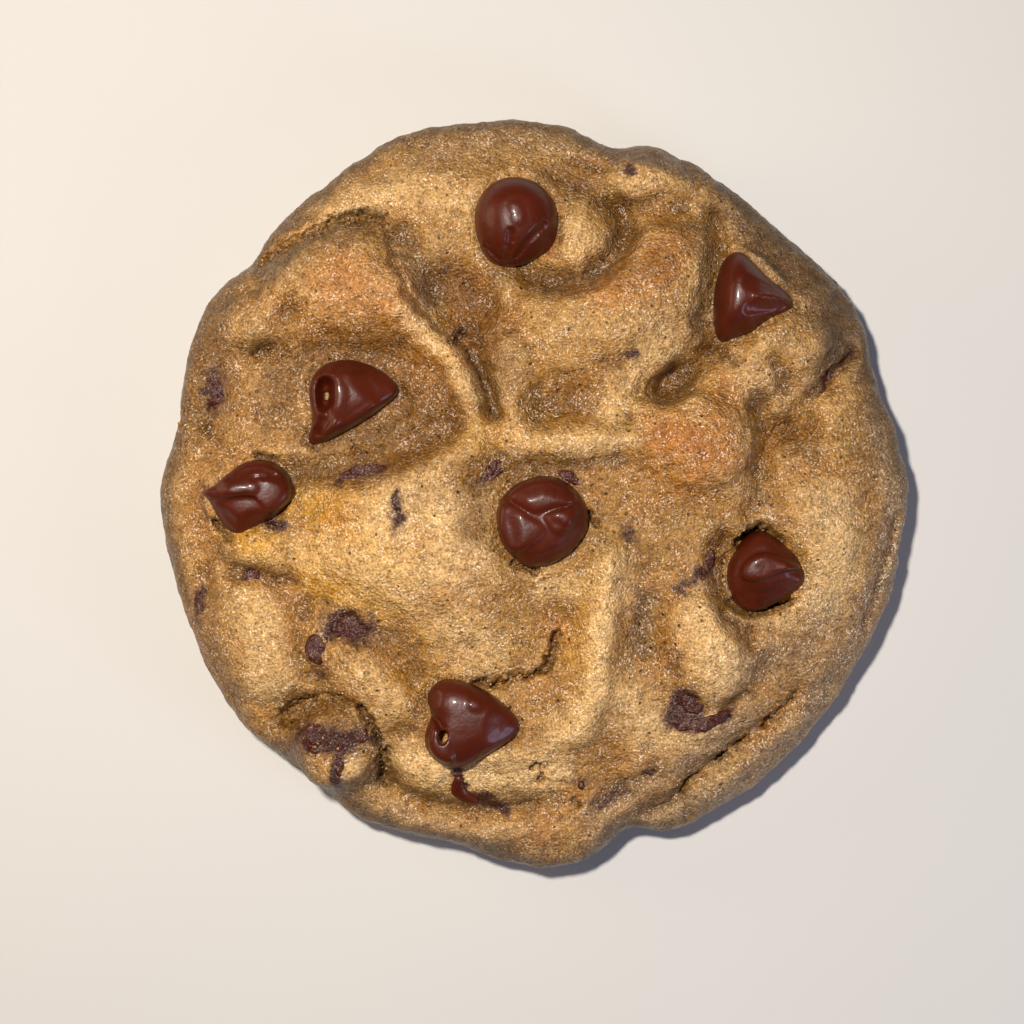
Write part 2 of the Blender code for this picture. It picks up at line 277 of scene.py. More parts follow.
# Where the dough grips each of the seven chips on top: the drop's edge, anticlockwise or clockwise.
GRIPS = {
    "top_chip_1": [
        (-6.5, 29.8), (-5.9, 32.2), (-4.3, 33.9), (-2, 34.5), (0.6, 33.8), (2.3, 31.9), (2.8, 29.8),
        (2.5, 27.3), (1.5, 26.1), (-0.4, 25.1), (-3.1, 24.4), (-5.1, 25.3), (-5.9, 27.2)],
    "top_chip_2": [
        (22.5, 26.4), (21.4, 25.9), (20.6, 24.9), (20.2, 23.4), (19.8, 21.8), (19.8, 19.9), (19.8, 18.2),
        (20.2, 16.7), (21, 16.3), (22.4, 17), (24, 17.2), (25.2, 18.3), (26.8, 19.2),
        (28.2, 19.8), (28.5, 20.8), (27.8, 21.9), (26, 23.1), (24.8, 24.3), (23.6, 25.7)],
    "top_chip_3": [
        (-24.5, 11), (-24.1, 12.6), (-22.9, 13.9), (-20.9, 14.5), (-18.6, 14.2), (-16.3, 13.1),
        (-14.2, 11.2), (-15.6, 9.9), (-17.6, 8.3), (-20, 6.9), (-21.8, 6), (-23.9, 4.9),
        (-24.7, 5.6), (-23.9, 7.4), (-24.2, 9.2)],
    "top_chip_4": [
        (-36.1, 0), (-35.2, 0.5), (-34.4, 0.8), (-33.6, 1.7), (-32.2, 2.9), (-30.7, 3.5), (-29.3, 3.5),
        (-27.9, 3), (-26.8, 2.1), (-26.3, 0.7), (-25.6, -0.2), (-26.6, -1.1), (-27.7, -2.3),
        (-29.7, -3.5), (-31, -4.2), (-32.2, -5), (-33.2, -4.1), (-34.1, -3.2), (-34.8, -1.8),
        (-35.3, -0.8)],
    "top_chip_5": [
        (-4, -1.8), (-3.1, -0.3), (-1.7, 1), (1, 1.8), (2.9, 1.5), (4.6, 0.2), (5.5, -1),
        (5.9, -2.6), (5.8, -4.1), (5, -5.4), (3.7, -6.8), (1.9, -7.8), (-0.4, -8.2), (-1.7, -7.3),
        (-3.1, -6.2), (-3.8, -4.4)],
    "top_chip_6": [
        (24.9, -3.8), (22.9, -5.3), (21.3, -7.6), (21, -9.4), (21.8, -11.9), (23.4, -13.1),
        (25.3, -12.9), (26.6, -12), (28.1, -11.6), (29.4, -10.5), (30.1, -9.1), (29.1, -7),
        (27, -5.3)],
    "top_chip_7": [
        (-11.5, -21.8), (-10.3, -20.5), (-8.8, -20.3), (-7, -20.8), (-5.4, -21.5), (-3.7, -22.6),
        (-2, -24.2), (-1.4, -25.4), (-2.1, -26.7), (-4.2, -28), (-6.5, -29.4), (-7.8, -30.1),
        (-9.6, -29.8), (-11.3, -28.6), (-11.9, -26.9), (-11.4, -25.2), (-10.8, -24.2), (-11.4, -23.2)],
}

# The top and sides get a skin twice as fine, and the worn lines and torn edges twice as fine again.
creases = [
    ([(-30, 25.5), (-27, 26.8), (-24, 28.3), (-20.4, 30.3), (-17, 30.2), (-15.4, 28.6)], -1, 1),
    ([(-16, 28), (-15, 24.6), (-13.6, 21.6), (-12, 19.3), (-10, 17.6), (-8.2, 16.6)], -0.9, 1),
    ([(-7, 15), (-5.8, 13.4), (-5, 11.5), (-4.3, 9.4), (-3.8, 7.9)], -0.9, 0.8),
    ([(3.5, 36.6), (5.6, 36.4), (7.6, 35.4)], -0.6, 0.7),
    ([(20, 31), (20.7, 28.5), (21, 26.6)], -1, 0.8),
    ([(16.8, 13.2), (18, 14.2), (19.8, 16)], -0.4, 0.8),
    ([(14, 12.4), (15.2, 13.4), (16.6, 13.8)], -0.6, 0.6),
    ([(20, 15.8), (22.4, 14)], -0.7, 0.8),
    ([(35.4, 15.4), (33, 13.3), (31, 11)], -0.8, 0.7),
    ([(23.4, -21.6), (21.4, -23.8)], -0.5, 0.7),
    ([(40.2, -2), (39.4, -6), (38.3, -9.4), (37.6, -12), (36.8, -14.6)], -0.3, 0.6),
    ([(-32, -8.2), (-29, -9), (-26, -9.8)], -0.6, 0.8),
    ([(-35.2, 9.8), (-35.6, 6.4)], -0.7, 0.8),
    ([(-16.5, -31.5), (-12, -33.9), (-9, -34.6), (-4, -34.9), (0, -34)], -0.5, 0.8),
    ([(20.5, -29), (16.8, -32.2), (15.3, -34.2), (12.4, -35.2)], -0.35, 0.7),
]
cracks = [
    ([(-6.2, -20.7), (-4, -21.1), (-2, -20.2), (1.4, -19.5), (2, -17.6), (2.6, -15.6)], -1.6, 0.7),
    ([(-5.4, -20.9), (-3.6, -21.2)], -0.8, 0.9),
    ([(-18.8, -23.4), (-17, -26.2), (-16.3, -28.4), (-16.8, -31.4)], -2, 0.8),
    ([(-27.6, -24.2), (-25, -22.8), (-22, -22.2), (-18.8, -23.4)], -0.9, 0.8),
    ([(-27.4, -25.6), (-25.4, -25.8)], -0.9, 0.7),
    ([(29, -22.4), (27, -24.5), (25.4, -25.8)], -0.35, 0.5),
    ([(26.4, -25), (25.8, -25.7)], -0.7, 0.5),
    ([(23.4, -27.2), (22.4, -28), (20.4, -29.2)], -0.8, 0.5),
    ([(22.8, -27.6), (22.9, -28.5)], -0.7, 0.5),
    ([(18, -31), (17, -31.8), (16.2, -33)], -0.5, 0.5),
    ([(-30.2, 15), (-29, 15.6)], -0.6, 0.5),
    ([(-27.4, 15.2), (-26.8, 14.8)], -0.5, 0.5),
    ([(-27.6, 27.2), (-24.8, 28.2), (-22.4, 29.6), (-19, 30.4), (-16.6, 29.8)], -0.8, 0.6),
    ([(0.2, -29.6), (1.2, -30.4), (0.6, -31.4)], -0.9, 0.6),
    ([(4.4, -33.8), (5.4, -34.4)], -0.8, 0.6),
    ([(-9, 16.2), (-8, 17.2)], -1, 0.7),
    ([(-30.2, 4), (-28.2, 3.4)], -1.6, 0.7),
    ([(-34.6, -3.2), (-33.6, -4.6), (-32.6, -5.1)], -1.5, 0.6),
    ([(6, -2.6), (6.7, -3.5)], -1.4, 0.6),
    ([(-2.2, -7.7), (0.6, -8.5)], -1.2, 0.6),
    ([(28.4, -11.9), (27.4, -12.3), (26.2, -12.6)], -1.6, 0.6),
    ([(23, -4.9), (24.6, -4.1), (25.8, -4.5)], -1.4, 0.6),
]
torn_places = [path for path, depth, reach in cracks] + [
    [(-38.4, 4.4), (-37.6, 9), (-36.6, 14.6)], [(-29.6, 25.8), (-24, 28.6), (-17, 30.2)],
    [(26, -12.6), (29.6, -10.9)], [(-24.6, -26.4), (-20.8, -29)],
    [(-22, -18.2), (-18, -16.4)], [(27.4, 7.2), (31, 7.2)],
]


def seen_from_above(verts):
    """Places of points, in millimetres from the middle of the round."""
    return np.array([v.co for v in verts]) / MM - np.array(ROUND_MIDDLE)


def brush(place, strokes):
    """How strongly the strokes (path, reach, strength) touch each of the places."""
    touched = np.zeros(len(place))
    for path, reach, strength in strokes:
        gap = np.full(len(place), 1e9)
        for start, end in zip(path, path[1:] or path):
            start, end = np.array(start, float), np.array(end, float)
            run = end - start
            part = np.clip(((place[:, :2] - start) @ run) / max(run @ run, 1e-9), 0, 1)
            gap = np.minimum(gap, np.linalg.norm(place[:, :2] - start - part[:, None] * run, axis=1))
        near = np.clip(1 - gap / reach, 0, 1)
        touched = np.maximum(touched, strength * near * near * (3 - 2 * near))
    return touched


def make_finer(piece, wanted, smoothness):
    """Cut the faces whose middles are wanted into four."""
    bpy.ops.mesh.reveal(select=False)
    bpy.ops.mesh.select_mode(type="FACE")
    bpy.ops.mesh.select_all(action="DESELECT")
    shape = bmesh.from_edit_mesh(piece.data)
    shape.normal_update()
    for face, chosen in zip(shape.faces, wanted(shape.faces)):
        face.select = bool(chosen)
    bpy.ops.mesh.subdivide(number_cuts=1, smoothness=smoothness)


def top_and_sides(faces):
    return [face.calc_center_median().z > 3.0 * MM or face.normal.z > 0.1 for face in faces]


TORN_BAND = 1.65          # how far the finest skin reaches on either side of a crack


def torn(faces):
    middles = np.array([face.calc_center_median() for face in faces]) / MM - np.array(ROUND_MIDDLE)
    near = brush(middles, [(path, TORN_BAND, 1.0) for path in torn_places]) > 0.02
    return near & (middles[:, 2] > 3.0)


bpy.ops.object.mode_set(mode="EDIT")
make_finer(dough, top_and_sides, 0.7)
hide_underside(dough)
feel()
for path, depth, reach in creases:
    mould(ragged(path, 0.3), depth, reach, "SHARP", 0.3)
for grip in GRIPS.values():
    mould(grip + grip[:1], -0.35, 0.8, "SMOOTH", 0.3)
mould([(22.6, -5.4), (24.9, -3.9), (26.8, -5.2)], -1.6, 1.0, "SMOOTH", 0.3)
mould([(21.9, -12), (23.4, -13), (25.4, -12.8), (27.6, -11.9)], -2.0, 1.0, "SMOOTH", 0.3)
make_finer(dough, torn, 0.4)
hide_underside(dough)
feel()
for path, depth, reach in cracks:
    mould(ragged(path), depth, reach, "SHARP", 0.2)
bpy.ops.mesh.reveal(select=False)
bpy.ops.object.mode_set(mode="OBJECT")

place = seen_from_above(dough.data.vertices)
crumbly = dough.vertex_groups.new(name="crumbly")
for index, weight in enumerate(brush(place, [(path, 1.5, 1.0) for path in torn_places])):
    if weight > 0.02:
        crumbly.add([index], weight, "REPLACE")
lively = dough.vertex_groups.new(name="top and sides")
lively.add([index for index in range(len(place)) if place[index, 2] > 1.5], 1.0, "REPLACE")


def roughen(name, size, depth, strength, group):
    """Let the skin of the dough bubble and crumble a little."""
    bubbles = bpy.data.textures.new(name, "CLOUDS")
    bubbles.noise_scale = size * MM
    bubbles.noise_depth = depth
    finish_with(dough, "DISPLACE", texture=bubbles, texture_coords="LOCAL", mid_level=0.5,
                strength=strength * MM, vertex_group=group)


roughen("skin ripples", 3.4, 2, 0.75, "top and sides")
roughen("skin dimples", 1.1, 2, 0.22, "top and sides")
roughen("broken crumb", 0.5, 2, 0.8, "crumbly")
for v in dough.data.vertices:
    v.co.z = max(v.co.z, 0.0)

# Colour differs over the disc: each brush paints one tone along a few places. Some tones are baked colour,
# and some are partly or wholly painted light and shade, as said at each.
place = seen_from_above(dough.data.vertices)
for index, (x, y, z) in enumerate(place):
    place[index, 0] += 0.8 * noise.noise((x * 0.8, y * 0.8, z))
    place[index, 1] += 0.8 * noise.noise((x * 0.8, y * 0.8, z + 20.0))


def paint(name, values):
    layer = dough.data.attributes.new(name, "FLOAT", "POINT")
    layer.data.foreach_set("value", np.asarray(values, dtype=np.float32))


paint("toasted", brush(place, [
    ([(15, 5.6), (18, 4.8)], 5.2, 1),
    ([(19.5, 7), (20.5, 3), (17, 1.6)], 4.5, 0.7),
    ([(8, 22), (13, 24), (15, 27)], 5, 0.8),
    ([(-20, 23.5), (-15, 20.5)], 6, 0.7),
    ([(-7, 21), (-6, 15)], 4, 0.8),
    ([(-22, 17), (-12, 11)], 6, 0.5),
    ([(-12, -13), (-8, -9)], 3, 0.35),
    ([(31, 19.5)], 2.4, 0.4),
    ([(-20.6, -3.2)], 3.2, 0.45),
    ([(1, -38)], 1.4, 0.6),
    ([(2.4, -12.5), (2, -15.5)], 2.6, 0.4),
]))
paint("golden", brush(place, [
    ([(-32, -5.6), (-27, -6), (-22, -8)], 3.4, 1),
    ([(-24, -9), (-18, -11.5), (-13, -16), (-12, -20)], 3.6, 0.9),
    ([(-24, -2), (-20, -3), (-16, -7)], 5.5, 0.8),
    ([(-34, 18), (-32, 22)], 3, 0.5),
    ([(-14, -32), (-11, -32.5)], 2.4, 0.8),
    ([(5, -10), (6, -20)], 4, 0.5),
    ([(-6, 6), (2, 4)], 3, 0.4),
]))
# Pale dough, partly painted highlight: the flat tops that face the lamp are painted paler.
paint("pale_and_lit", brush(place, [
    ([(-16, -3.6), (-12, -1.6), (-8, -3), (-8.4, -9)], 5.6, 1),
    ([(-9.6, -9)], 4, 1),
    ([(8.2, -8), (7.2, -16), (6.8, -22), (3, -26.6)], 2.8, 0.9),
    ([(18.6, -14), (20.6, -19.6)], 4.4, 1),
    ([(32.6, -1.6), (33.6, -5), (32, -12)], 4.6, 1),
    ([(28, -14)], 3, 0.4),
    ([(8, 9), (12, 13), (14, 17)], 3.4, 0.7),
    ([(-18, -9), (-11, -13), (-6, -17)], 5, 0.7),
    ([(9, -22), (13, -25.6), (19, -26.4)], 4.6, 0.8),
    ([(9.8, -7.4), (10, -12)], 2.4, 0.7),
    ([(-25, -6.4), (-14, -8.4)], 4.4, 0.7),
    ([(20, 1.6), (22.6, 0.8)], 2.2, 0.6),
    ([(31, 12.4)], 2, 0.5),
    ([(18.6, 19.6), (18.2, 24)], 2, 0.5),
    ([(-13, -29.4), (-6, -31), (2, -30.4)], 3.6, 1.2),
    ([(-19.4, -30.2)], 2.6, 1),
    ([(-30, -13), (-29, -21)], 4, 0.7),
    ([(-22, 30.6), (-14, 33.4), (-7, 31.4)], 3.6, 0.6),
    ([(-29, 23.4)], 3, 0.4),
    ([(12, 11), (12.6, 14)], 1.8, 0.6),
    ([(7, 27.6)], 2.4, 0.6),
    ([(-2, 5), (10, 5.6)], 2.4, 0.5),
    ([(3, 18), (9, 19), (13, 17)], 4.5, 0.2),
    ([(-20, 22.4), (-17, 21.6)], 3.4, 0.5),
    ([(1.6, -10.4), (4.4, -10)], 2.8, 0.9),
    ([(-13.5, 19), (-9.2, 15.4)], 1.8, 0.9),
    ([(-8.4, 13.4), (-6.6, 11)], 1.6, 0.7),
    ([(23, 13.5), (25, 11.5)], 2.6, 0.3),
    ([(4.8, 28.8)], 2.6, 0.6),
    ([(-18, -20), (-15, -24)], 3.4, 0.5),
]))
# Grey painted shade: the right and lower right rims, steep valley sides and slopes in cool light are
# painted grey-beige.
paint("cool_shade", brush(place, [
    ([(38, 8), (40, 0), (39, -8), (35, -17), (30, -26), (22, -33), (8, -38)], 3.2, 1),
    ([(24, -18.5), (29, -18), (33, -13)], 4.2, 0.7),
    ([(24, -24), (20, -28), (12, -32.5), (7, -35)], 2.8, 0.8),
    ([(22, 31), (28, 25), (33, 18)], 4, 0.3),
    ([(12, -11), (11.6, -17)], 2, 0.9),
    ([(-14.4, 28), (-12.4, 23.6), (-11.6, 20.6)], 2.6, 0.8),
    ([(2, 23), (6, 23), (9, 28)], 2.2, 0.6),
    ([(19.2, 27), (18.6, 19)], 2.2, 0.6),
    ([(-18, -35), (-8, -38.5), (0, -40)], 3, 0.6),
    ([(-12, 36.5), (-2, 39), (6, 38)], 3, 0.5),
    ([(-5, -34.6), (2, -33.8)], 1.6, 0.4),
    ([(24.5, 0), (25.5, -2)], 2, 0.5),
]))
paint("wet", brush(place, [
    ([(-26, 12), (-20, 16), (-13, 11), (-18, 6)], 5, 0.55),
    ([(-37, 6), (-36.5, 12), (-35, 17)], 3.4, 0.9),
    ([(-29, 15.6)], 2.4, 0.8),
    ([(-7, 20), (-6, 14), (-4.4, 9)], 2.2, 0.8),
    ([(14.8, 11.2), (15.8, 12.2)], 2.4, 1),
    ([(1, 9.6), (5.6, 10.2)], 2.6, 0.6),
    ([(7.6, 31.4), (9.6, 30.6)], 2, 0.8),
    ([(-27, -25.2), (-24, -23.4), (-19, -24.6), (-17.4, -29)], 2.6, 0.9),
    ([(-6, 3), (-3.6, 3.6)], 2.2, 0.7),
    ([(-4.4, -4), (-3.4, -6.8)], 1.4, 0.6),
    ([(6.8, -2), (6.6, -4.4)], 1.4, 0.7),
    ([(20.4, -4.6), (20, -8.6), (20.8, -12.6)], 1.6, 0.8),
    ([(22, -3.2), (28, -3.4)], 1.6, 0.5),
    ([(-5, -20.6), (-1, -20), (1.8, -18.6)], 1.6, 0.7),
    ([(-29.4, -4.4), (-25.4, -3.6)], 1.4, 0.5),
    ([(10, 24), (9.4, 29)], 1.6, 0.4),
]))
paint("cocoa", brush(place, [
    ([(-35, 12.4), (-35, 10)], 2.6, 0.9),
    ([(-21.6, -14.4), (-18.6, -14.8)], 3.1, 1.1),
    ([(-23, -19.6)], 2, 0.6),
    ([(-24.2, -27), (-20.6, -27)], 3.2, 1.1),
    ([(-21.4, -29.4), (-21.6, -32)], 1.5, 1),
    ([(-19.4, -26.2), (-17.4, -27)], 1.5, 0.8),
    ([(16.4, -22.6), (15.4, -24.8), (18, -25.2)], 2.5, 1.1),
    ([(18.6, -25.8), (21.6, -24.2)], 1.2, 0.9),
    ([(18.4, -8.6), (16, -10.4)], 1.8, 0.8),
    ([(-36.4, -10.6), (-36.8, -13.4)], 1.5, 0.8),
    ([(-14.6, 0.2), (-14.5, -3.4)], 1.2, 1),
    ([(-8.2, -30), (-7.8, -32)], 1.2, 1),
    ([(-14.8, -4.6)], 1.3, 0.6),
    ([(10.4, -4.4)], 1.7, 0.95),
    ([(10.5, 14.8)], 1.3, 0.95),
    ([(10.7, 34.9)], 1.4, 0.9),
    ([(-28.8, -3), (-27, -3.6)], 1.3, 0.9),
    ([(7.4, -34.4), (10, -32.8)], 1, 0.75),
    ([(12.2, -31), (13.4, -30.4)], 0.8, 0.9),
    ([(5.2, -31.8)], 1.2, 0.7),
    ([(-6.4, -33.4), (-3.2, -34.8)], 1.6, 1),
    ([(-21.4, 1.6), (-15.8, 2.6)], 1.5, 0.7),
    ([(-6, 0.8), (-4, 2.6)], 1.3, 0.6),
    ([(-8.6, 16.6), (-7.6, 18)], 1.4, 0.8),
    ([(-9.4, 24.6)], 1.2, 0.6),
    ([(15.2, -17), (15.4, -19.6)], 1.3, 0.45),
    ([(12, -12), (11.4, -16)], 1.8, 0.2),
    ([(35.4, 15.4), (33, 13.3), (31.6, 11.6)], 1, 0.95),
    ([(-22.5, 10.5)], 1.4, 0.55),
]))
# Darker brown: partly browned, damp dough, partly painted shade in valleys and troughs and along the shaded
# back and right rims.
paint("brown_and_shade", brush(place, [
    ([(-29, 9), (-27, 14.6), (-16, 14.6), (-12, 9)], 5, 0.75),
    ([(-27, 2), (-20, 2.2), (-13, 3.8), (-9, 7.4)], 3.2, 1),
    ([(-6.6, -4.4), (-6.2, 0.8), (-2.4, 3), (4.4, 2.4)], 3.4, 1),
    ([(-34.6, 10), (-34.6, 16)], 4, 0.9),
    ([(-10, 24), (-5.4, 19.6), (-4, 12)], 4.5, 0.9),
    ([(-4, 24), (2, 22.4), (7.6, 24.2), (10.6, 28.6)], 2.6, 0.85),
    ([(21.6, 31), (25.4, 26.6), (29.6, 23.6), (33, 19)], 3.6, 1),
    ([(17.6, 18), (18.6, 16), (21, 15)], 2.4, 0.8),
    ([(36.4, 15), (39.2, 6)], 3.2, 0.8),
    ([(-12, -21), (-12.6, -26)], 1.8, 0.5),
    ([(20.4, -4.6), (19.6, -9), (21.4, -13.6), (23.4, -13.8)], 2.4, 0.9),
    ([(-26, -26.6), (-21, -24.6)], 4, 0.9),
    ([(-19.4, -15.2), (-14.6, -15.4), (-11.8, -19.6)], 2.8, 1),
    ([(-24, 6), (-16, 6.4), (-10, 9.6)], 4.2, 1),
    ([(2, 34.4), (5.6, 33.4)], 3.2, 0.9),
    ([(29.6, 4.6), (27, 7.4)], 3.2, 0.8),
    ([(27.6, 17.4)], 3.2, 0.6),
    ([(10, 23.6), (14, 25)], 3.4, 0.55),
    ([(4, 18)], 3.4, 0.25),
    ([(24, 12.5)], 2.6, 0.35),
    ([(-30, 9)], 2.6, 0.25),
    ([(-13, -2.6)], 2.8, 0.25),
    ([(-16, -36.4), (-6, -38.4), (1, -39)], 2.6, 0.5),
    ([(-31.4, 18.4)], 3.4, 0.5),
    ([(15.4, 11.4), (17.4, 13.4)], 2.2, 0.9),
]))


def softened(iterations):
    """Where each point of the skin would lie, and which way it would face, if it were smoothed."""
    soft = dough.copy()
    soft.data = dough.data.copy()
    bpy.context.scene.collection.objects.link(soft)
    finish_with(soft, "SMOOTH", factor=0.5, iterations=iterations)
    places = seen_from_above(soft.data.vertices)
    normals = np.array([v.normal for v in soft.data.vertices])
    bpy.data.objects.remove(soft)
    return places, normals


# Painted shade on the sides: they are painted darker than the top, the steeper the more, but less so at the
# right and lower left.
SIDE_STARTS = 31.0        # millimetres from the middle of the round
SIDE_FADES_IN = 5.0
steep = 1 - softened(60)[1][:, 2]
out_from_middle = np.hypot(place[:, 0], place[:, 1])
on_side = np.clip((out_from_middle - SIDE_STARTS) / SIDE_FADES_IN, 0, 1)
darker_when_steep = np.clip((steep - 0.07) / 0.28, 0, 1) * on_side
less_shaded_side = brush(place, [
    ([(39, -4), (35, -18), (22, -33)], 9, 0.75),
    ([(-36, -14), (-30, -25)], 6, 0.4),
])
# More painted shade along the back right side.
shaded_side = brush(place, [([(22, 32), (30, 24.6), (36, 15)], 4.4, 0.7)])
paint("side_shade", darker_when_steep * (1 - less_shaded_side) + shaded_side)
paint("underside", np.clip((1.6 - place[:, 2]) / 1.2, 0, 1))

# Painted shade in hollows and valleys, painted highlight on ridges and crests: compare the skin with
# smoothed copies of itself.
facing = np.array([v.normal for v in dough.data.vertices])


def stands_below(iterations):
    """How far the skin lies below a copy of it that is smoothed, in millimetres."""
    moved = softened(iterations)[0] - seen_from_above(dough.data.vertices)
    return np.sum(moved * facing, axis=1)


dent = stands_below(20)
dip = stands_below(220)
paint("hollow_shade", np.clip(dent / 0.25, 0, 1))
paint("ridge_highlight", np.clip(-dent / 0.25, 0, 1))
paint("valley_shade", np.clip(dip / 1.1, 0, 1))
paint("crest_highlight", np.clip(-dip / 0.9, 0, 1))


def new_group(name, inputs, outputs):
    """A shader node group with named sockets, its input node and its output node."""
    group = bpy.data.node_groups.new(name, "ShaderNodeTree")
    for label, kind, value in inputs:
        socket = group.interface.new_socket(label, in_out="INPUT", socket_type=kind)
        if value is not None:
            socket.default_value = value
    for label, kind in outputs:
        group.interface.new_socket(label, in_out="OUTPUT", socket_type=kind)
    return group, group.nodes.new("NodeGroupInput"), group.nodes.new("NodeGroupOutput")


def node(tree, kind, settings=None, **sockets):
    """Add one node. Settings are its own options, and sockets are values or other nodes' outputs."""
    new = tree.nodes.new("ShaderNode" + kind)
    for name, value in (settings or {}).items():
        setattr(new, name, value)
    for name, value in sockets.items():
        key = int(name[1:]) if name[0] == "i" and name[1:].isdigit() else name.replace("_", " ")
        if isinstance(value, bpy.types.NodeSocket):
            tree.links.new(value, new.inputs[key])
        else:
            new.inputs[key].default_value = value
    return new


def blend(tree, share, below, above, mode="MIX"):
    """One colour laid over another by a share."""
    mix = tree.nodes.new("ShaderNodeMix")
    mix.data_type = "RGBA"
    mix.blend_type = mode
    for socket, value in ((mix.inputs[0], share), (mix.inputs[6], below), (mix.inputs[7], above)):
        if isinstance(value, bpy.types.NodeSocket):
            tree.links.new(value, socket)
        else:
            socket.default_value = value
    return mix.outputs[2]


def ramp(tree, value, low, high, to_low=0.0, to_high=1.0):
    """Stretch a value from one range to another, held at both ends."""
    return node(tree, "MapRange", None, Value=value, From_Min=low, From_Max=high,
                To_Min=to_low, To_Max=to_high).outputs[0]


def arithmetic(tree, what, first, second):
    return node(tree, "Math", {"operation": what}, i0=first, i1=second).outputs[0]


def mottle(tree, where, size_mm, detail=2.0, roughness=0.6):
    """Soft blotches of one size, from 0 to 1."""
    return node(tree, "TexNoise", None, Vector=where, Scale=1000.0 / size_mm, Detail=detail,
                Roughness=roughness).outputs[0]


# Crumb grain: sugar and flour grains, tiny pores and clear sugar grains, which the dough's colour paints as
# glints.
GRAIN_MM = 0.36
PORE_MM = 1.3
grain, grain_in, grain_out = new_group(
    "crumb grain",
    [("Place", "NodeSocketVector", None)],
    [("Tone", "NodeSocketFloat"), ("Pores", "NodeSocketFloat"), ("Sugar", "NodeSocketFloat"),
     ("Height", "NodeSocketFloat")])
spot = grain_in.outputs["Place"]
fine = mottle(grain, spot, 0.28, 2.0, 0.6)
coarse = mottle(grain, spot, 1.1, 3.0, 0.65)
tone = arithmetic(grain, "ADD", ramp(grain, fine, 0.3, 0.7, -0.62, 0.62),
                  ramp(grain, coarse, 0.3, 0.7, -0.38, 0.38))
grains = node(grain, "TexVoronoi", None, Vector=spot, Scale=1000.0 / GRAIN_MM)
kind_of_grain = node(grain, "SeparateColor", None, Color=grains.outputs["Color"])
round_grain = ramp(grain, grains.outputs["Distance"], 0.0, 0.75, 1.0, 0.0)
grain_height = arithmetic(grain, "MULTIPLY", round_grain,
                          ramp(grain, kind_of_grain.outputs[1], 0.0, 1.0, 0.35, 1.0))
flakes = mottle(grain, spot, 0.20, 1.0, 0.5)
sugar = arithmetic(grain, "MULTIPLY", ramp(grain, kind_of_grain.outputs[0], 0.30, 0.50),
                   ramp(grain, flakes, 0.54, 0.64))
pits = node(grain, "TexVoronoi", None, Vector=spot, Scale=1000.0 / PORE_MM)
kind_of_pit = node(grain, "SeparateColor", None, Color=pits.outputs["Color"])
pores = arithmetic(grain, "MULTIPLY", ramp(grain, pits.outputs["Distance"], 0.07, 0.15, 1.0, 0.0),
                   ramp(grain, kind_of_pit.outputs[0], 0.45, 0.6))
height = arithmetic(grain, "ADD", arithmetic(grain, "MULTIPLY", grain_height, 0.42),
                    arithmetic(grain, "MULTIPLY", coarse, 1.7))
height = arithmetic(grain, "ADD", height, arithmetic(grain, "MULTIPLY", fine, 0.8))
height = arithmetic(grain, "SUBTRACT", height, arithmetic(grain, "MULTIPLY", pores, 0.9))
for label, socket in (("Tone", tone), ("Pores", pores), ("Sugar", sugar), ("Height", height)):
    grain.links.new(socket, grain_out.inputs[label])

DOUGH_MID = (0.312, 0.152, 0.026, 1.0)
DOUGH_TOASTED = (0.345, 0.108, 0.006, 1.0)
DOUGH_GOLDEN = (0.515, 0.245, 0.016, 1.0)
# Pale dough, and the painted highlight on crests, ridges and lit tops.
DOUGH_PALE_AND_LIT = (0.655, 0.405, 0.152, 1.0)
# Grey-beige of the painted cool shade.
DOUGH_COOL_SHADE = (0.215, 0.135, 0.064, 1.0)
# Damp brown dough, and the painted shade in the valleys.
DOUGH_WET_AND_VALLEY_SHADE = (0.150, 0.060, 0.004, 1.0)
# Brown dough, and painted shade.
DOUGH_BROWN_AND_SHADE = (0.120, 0.044, 0.003, 1.0)
# Painted shade in hollows, creases and pores.
DOUGH_DEEP_SHADE = (0.076, 0.031, 0.005, 1.0)
# Painted shade of the steep sides.
DOUGH_SIDE_SHADE = (0.095, 0.047, 0.013, 1.0)
DOUGH_BASE = (0.200, 0.090, 0.030, 1.0)
COCOA_HALO = (0.140, 0.066, 0.028, 1.0)
COCOA_STAIN = (0.042, 0.0095, 0.0040, 1.0)
# Colours of the painted glints on the sugar grains.
SUGAR_GLINT_WHITE = (0.960, 0.850, 0.690, 1.0)
SUGAR_GLINT_BRIGHTENING = (2.20, 2.15, 2.10, 1.0)
CRUMB_DARK = (0.42, 0.36, 0.25, 1.0)
CRUMB_LIGHT = (1.60, 1.60, 1.72, 1.0)

baked = bpy.data.materials.new("baked brown-sugar dough")
baked.use_nodes = True
tree = baked.node_tree
shader = tree.nodes["Principled BSDF"]
where = tree.nodes.new("ShaderNodeTexCoord").outputs["Object"]
crumb = tree.nodes.new("ShaderNodeGroup")
crumb.node_tree = grain
tree.links.new(where, crumb.inputs["Place"])


def painted(name, share=1.0):
    layer = node(tree, "Attribute", {"attribute_name": name})
    return arithmetic(tree, "MULTIPLY", layer.outputs["Fac"], share)


patches = mottle(tree, where, 6.0, 4.0, 0.65)
blotches = mottle(tree, where, 1.0, 4.0, 0.7)
sugar_glint_patches = mottle(tree, where, 2.4, 5.0, 0.7)
colour = blend(tree, ramp(tree, patches, 0.40, 0.70, 0.0, 0.45), DOUGH_MID, DOUGH_TOASTED)
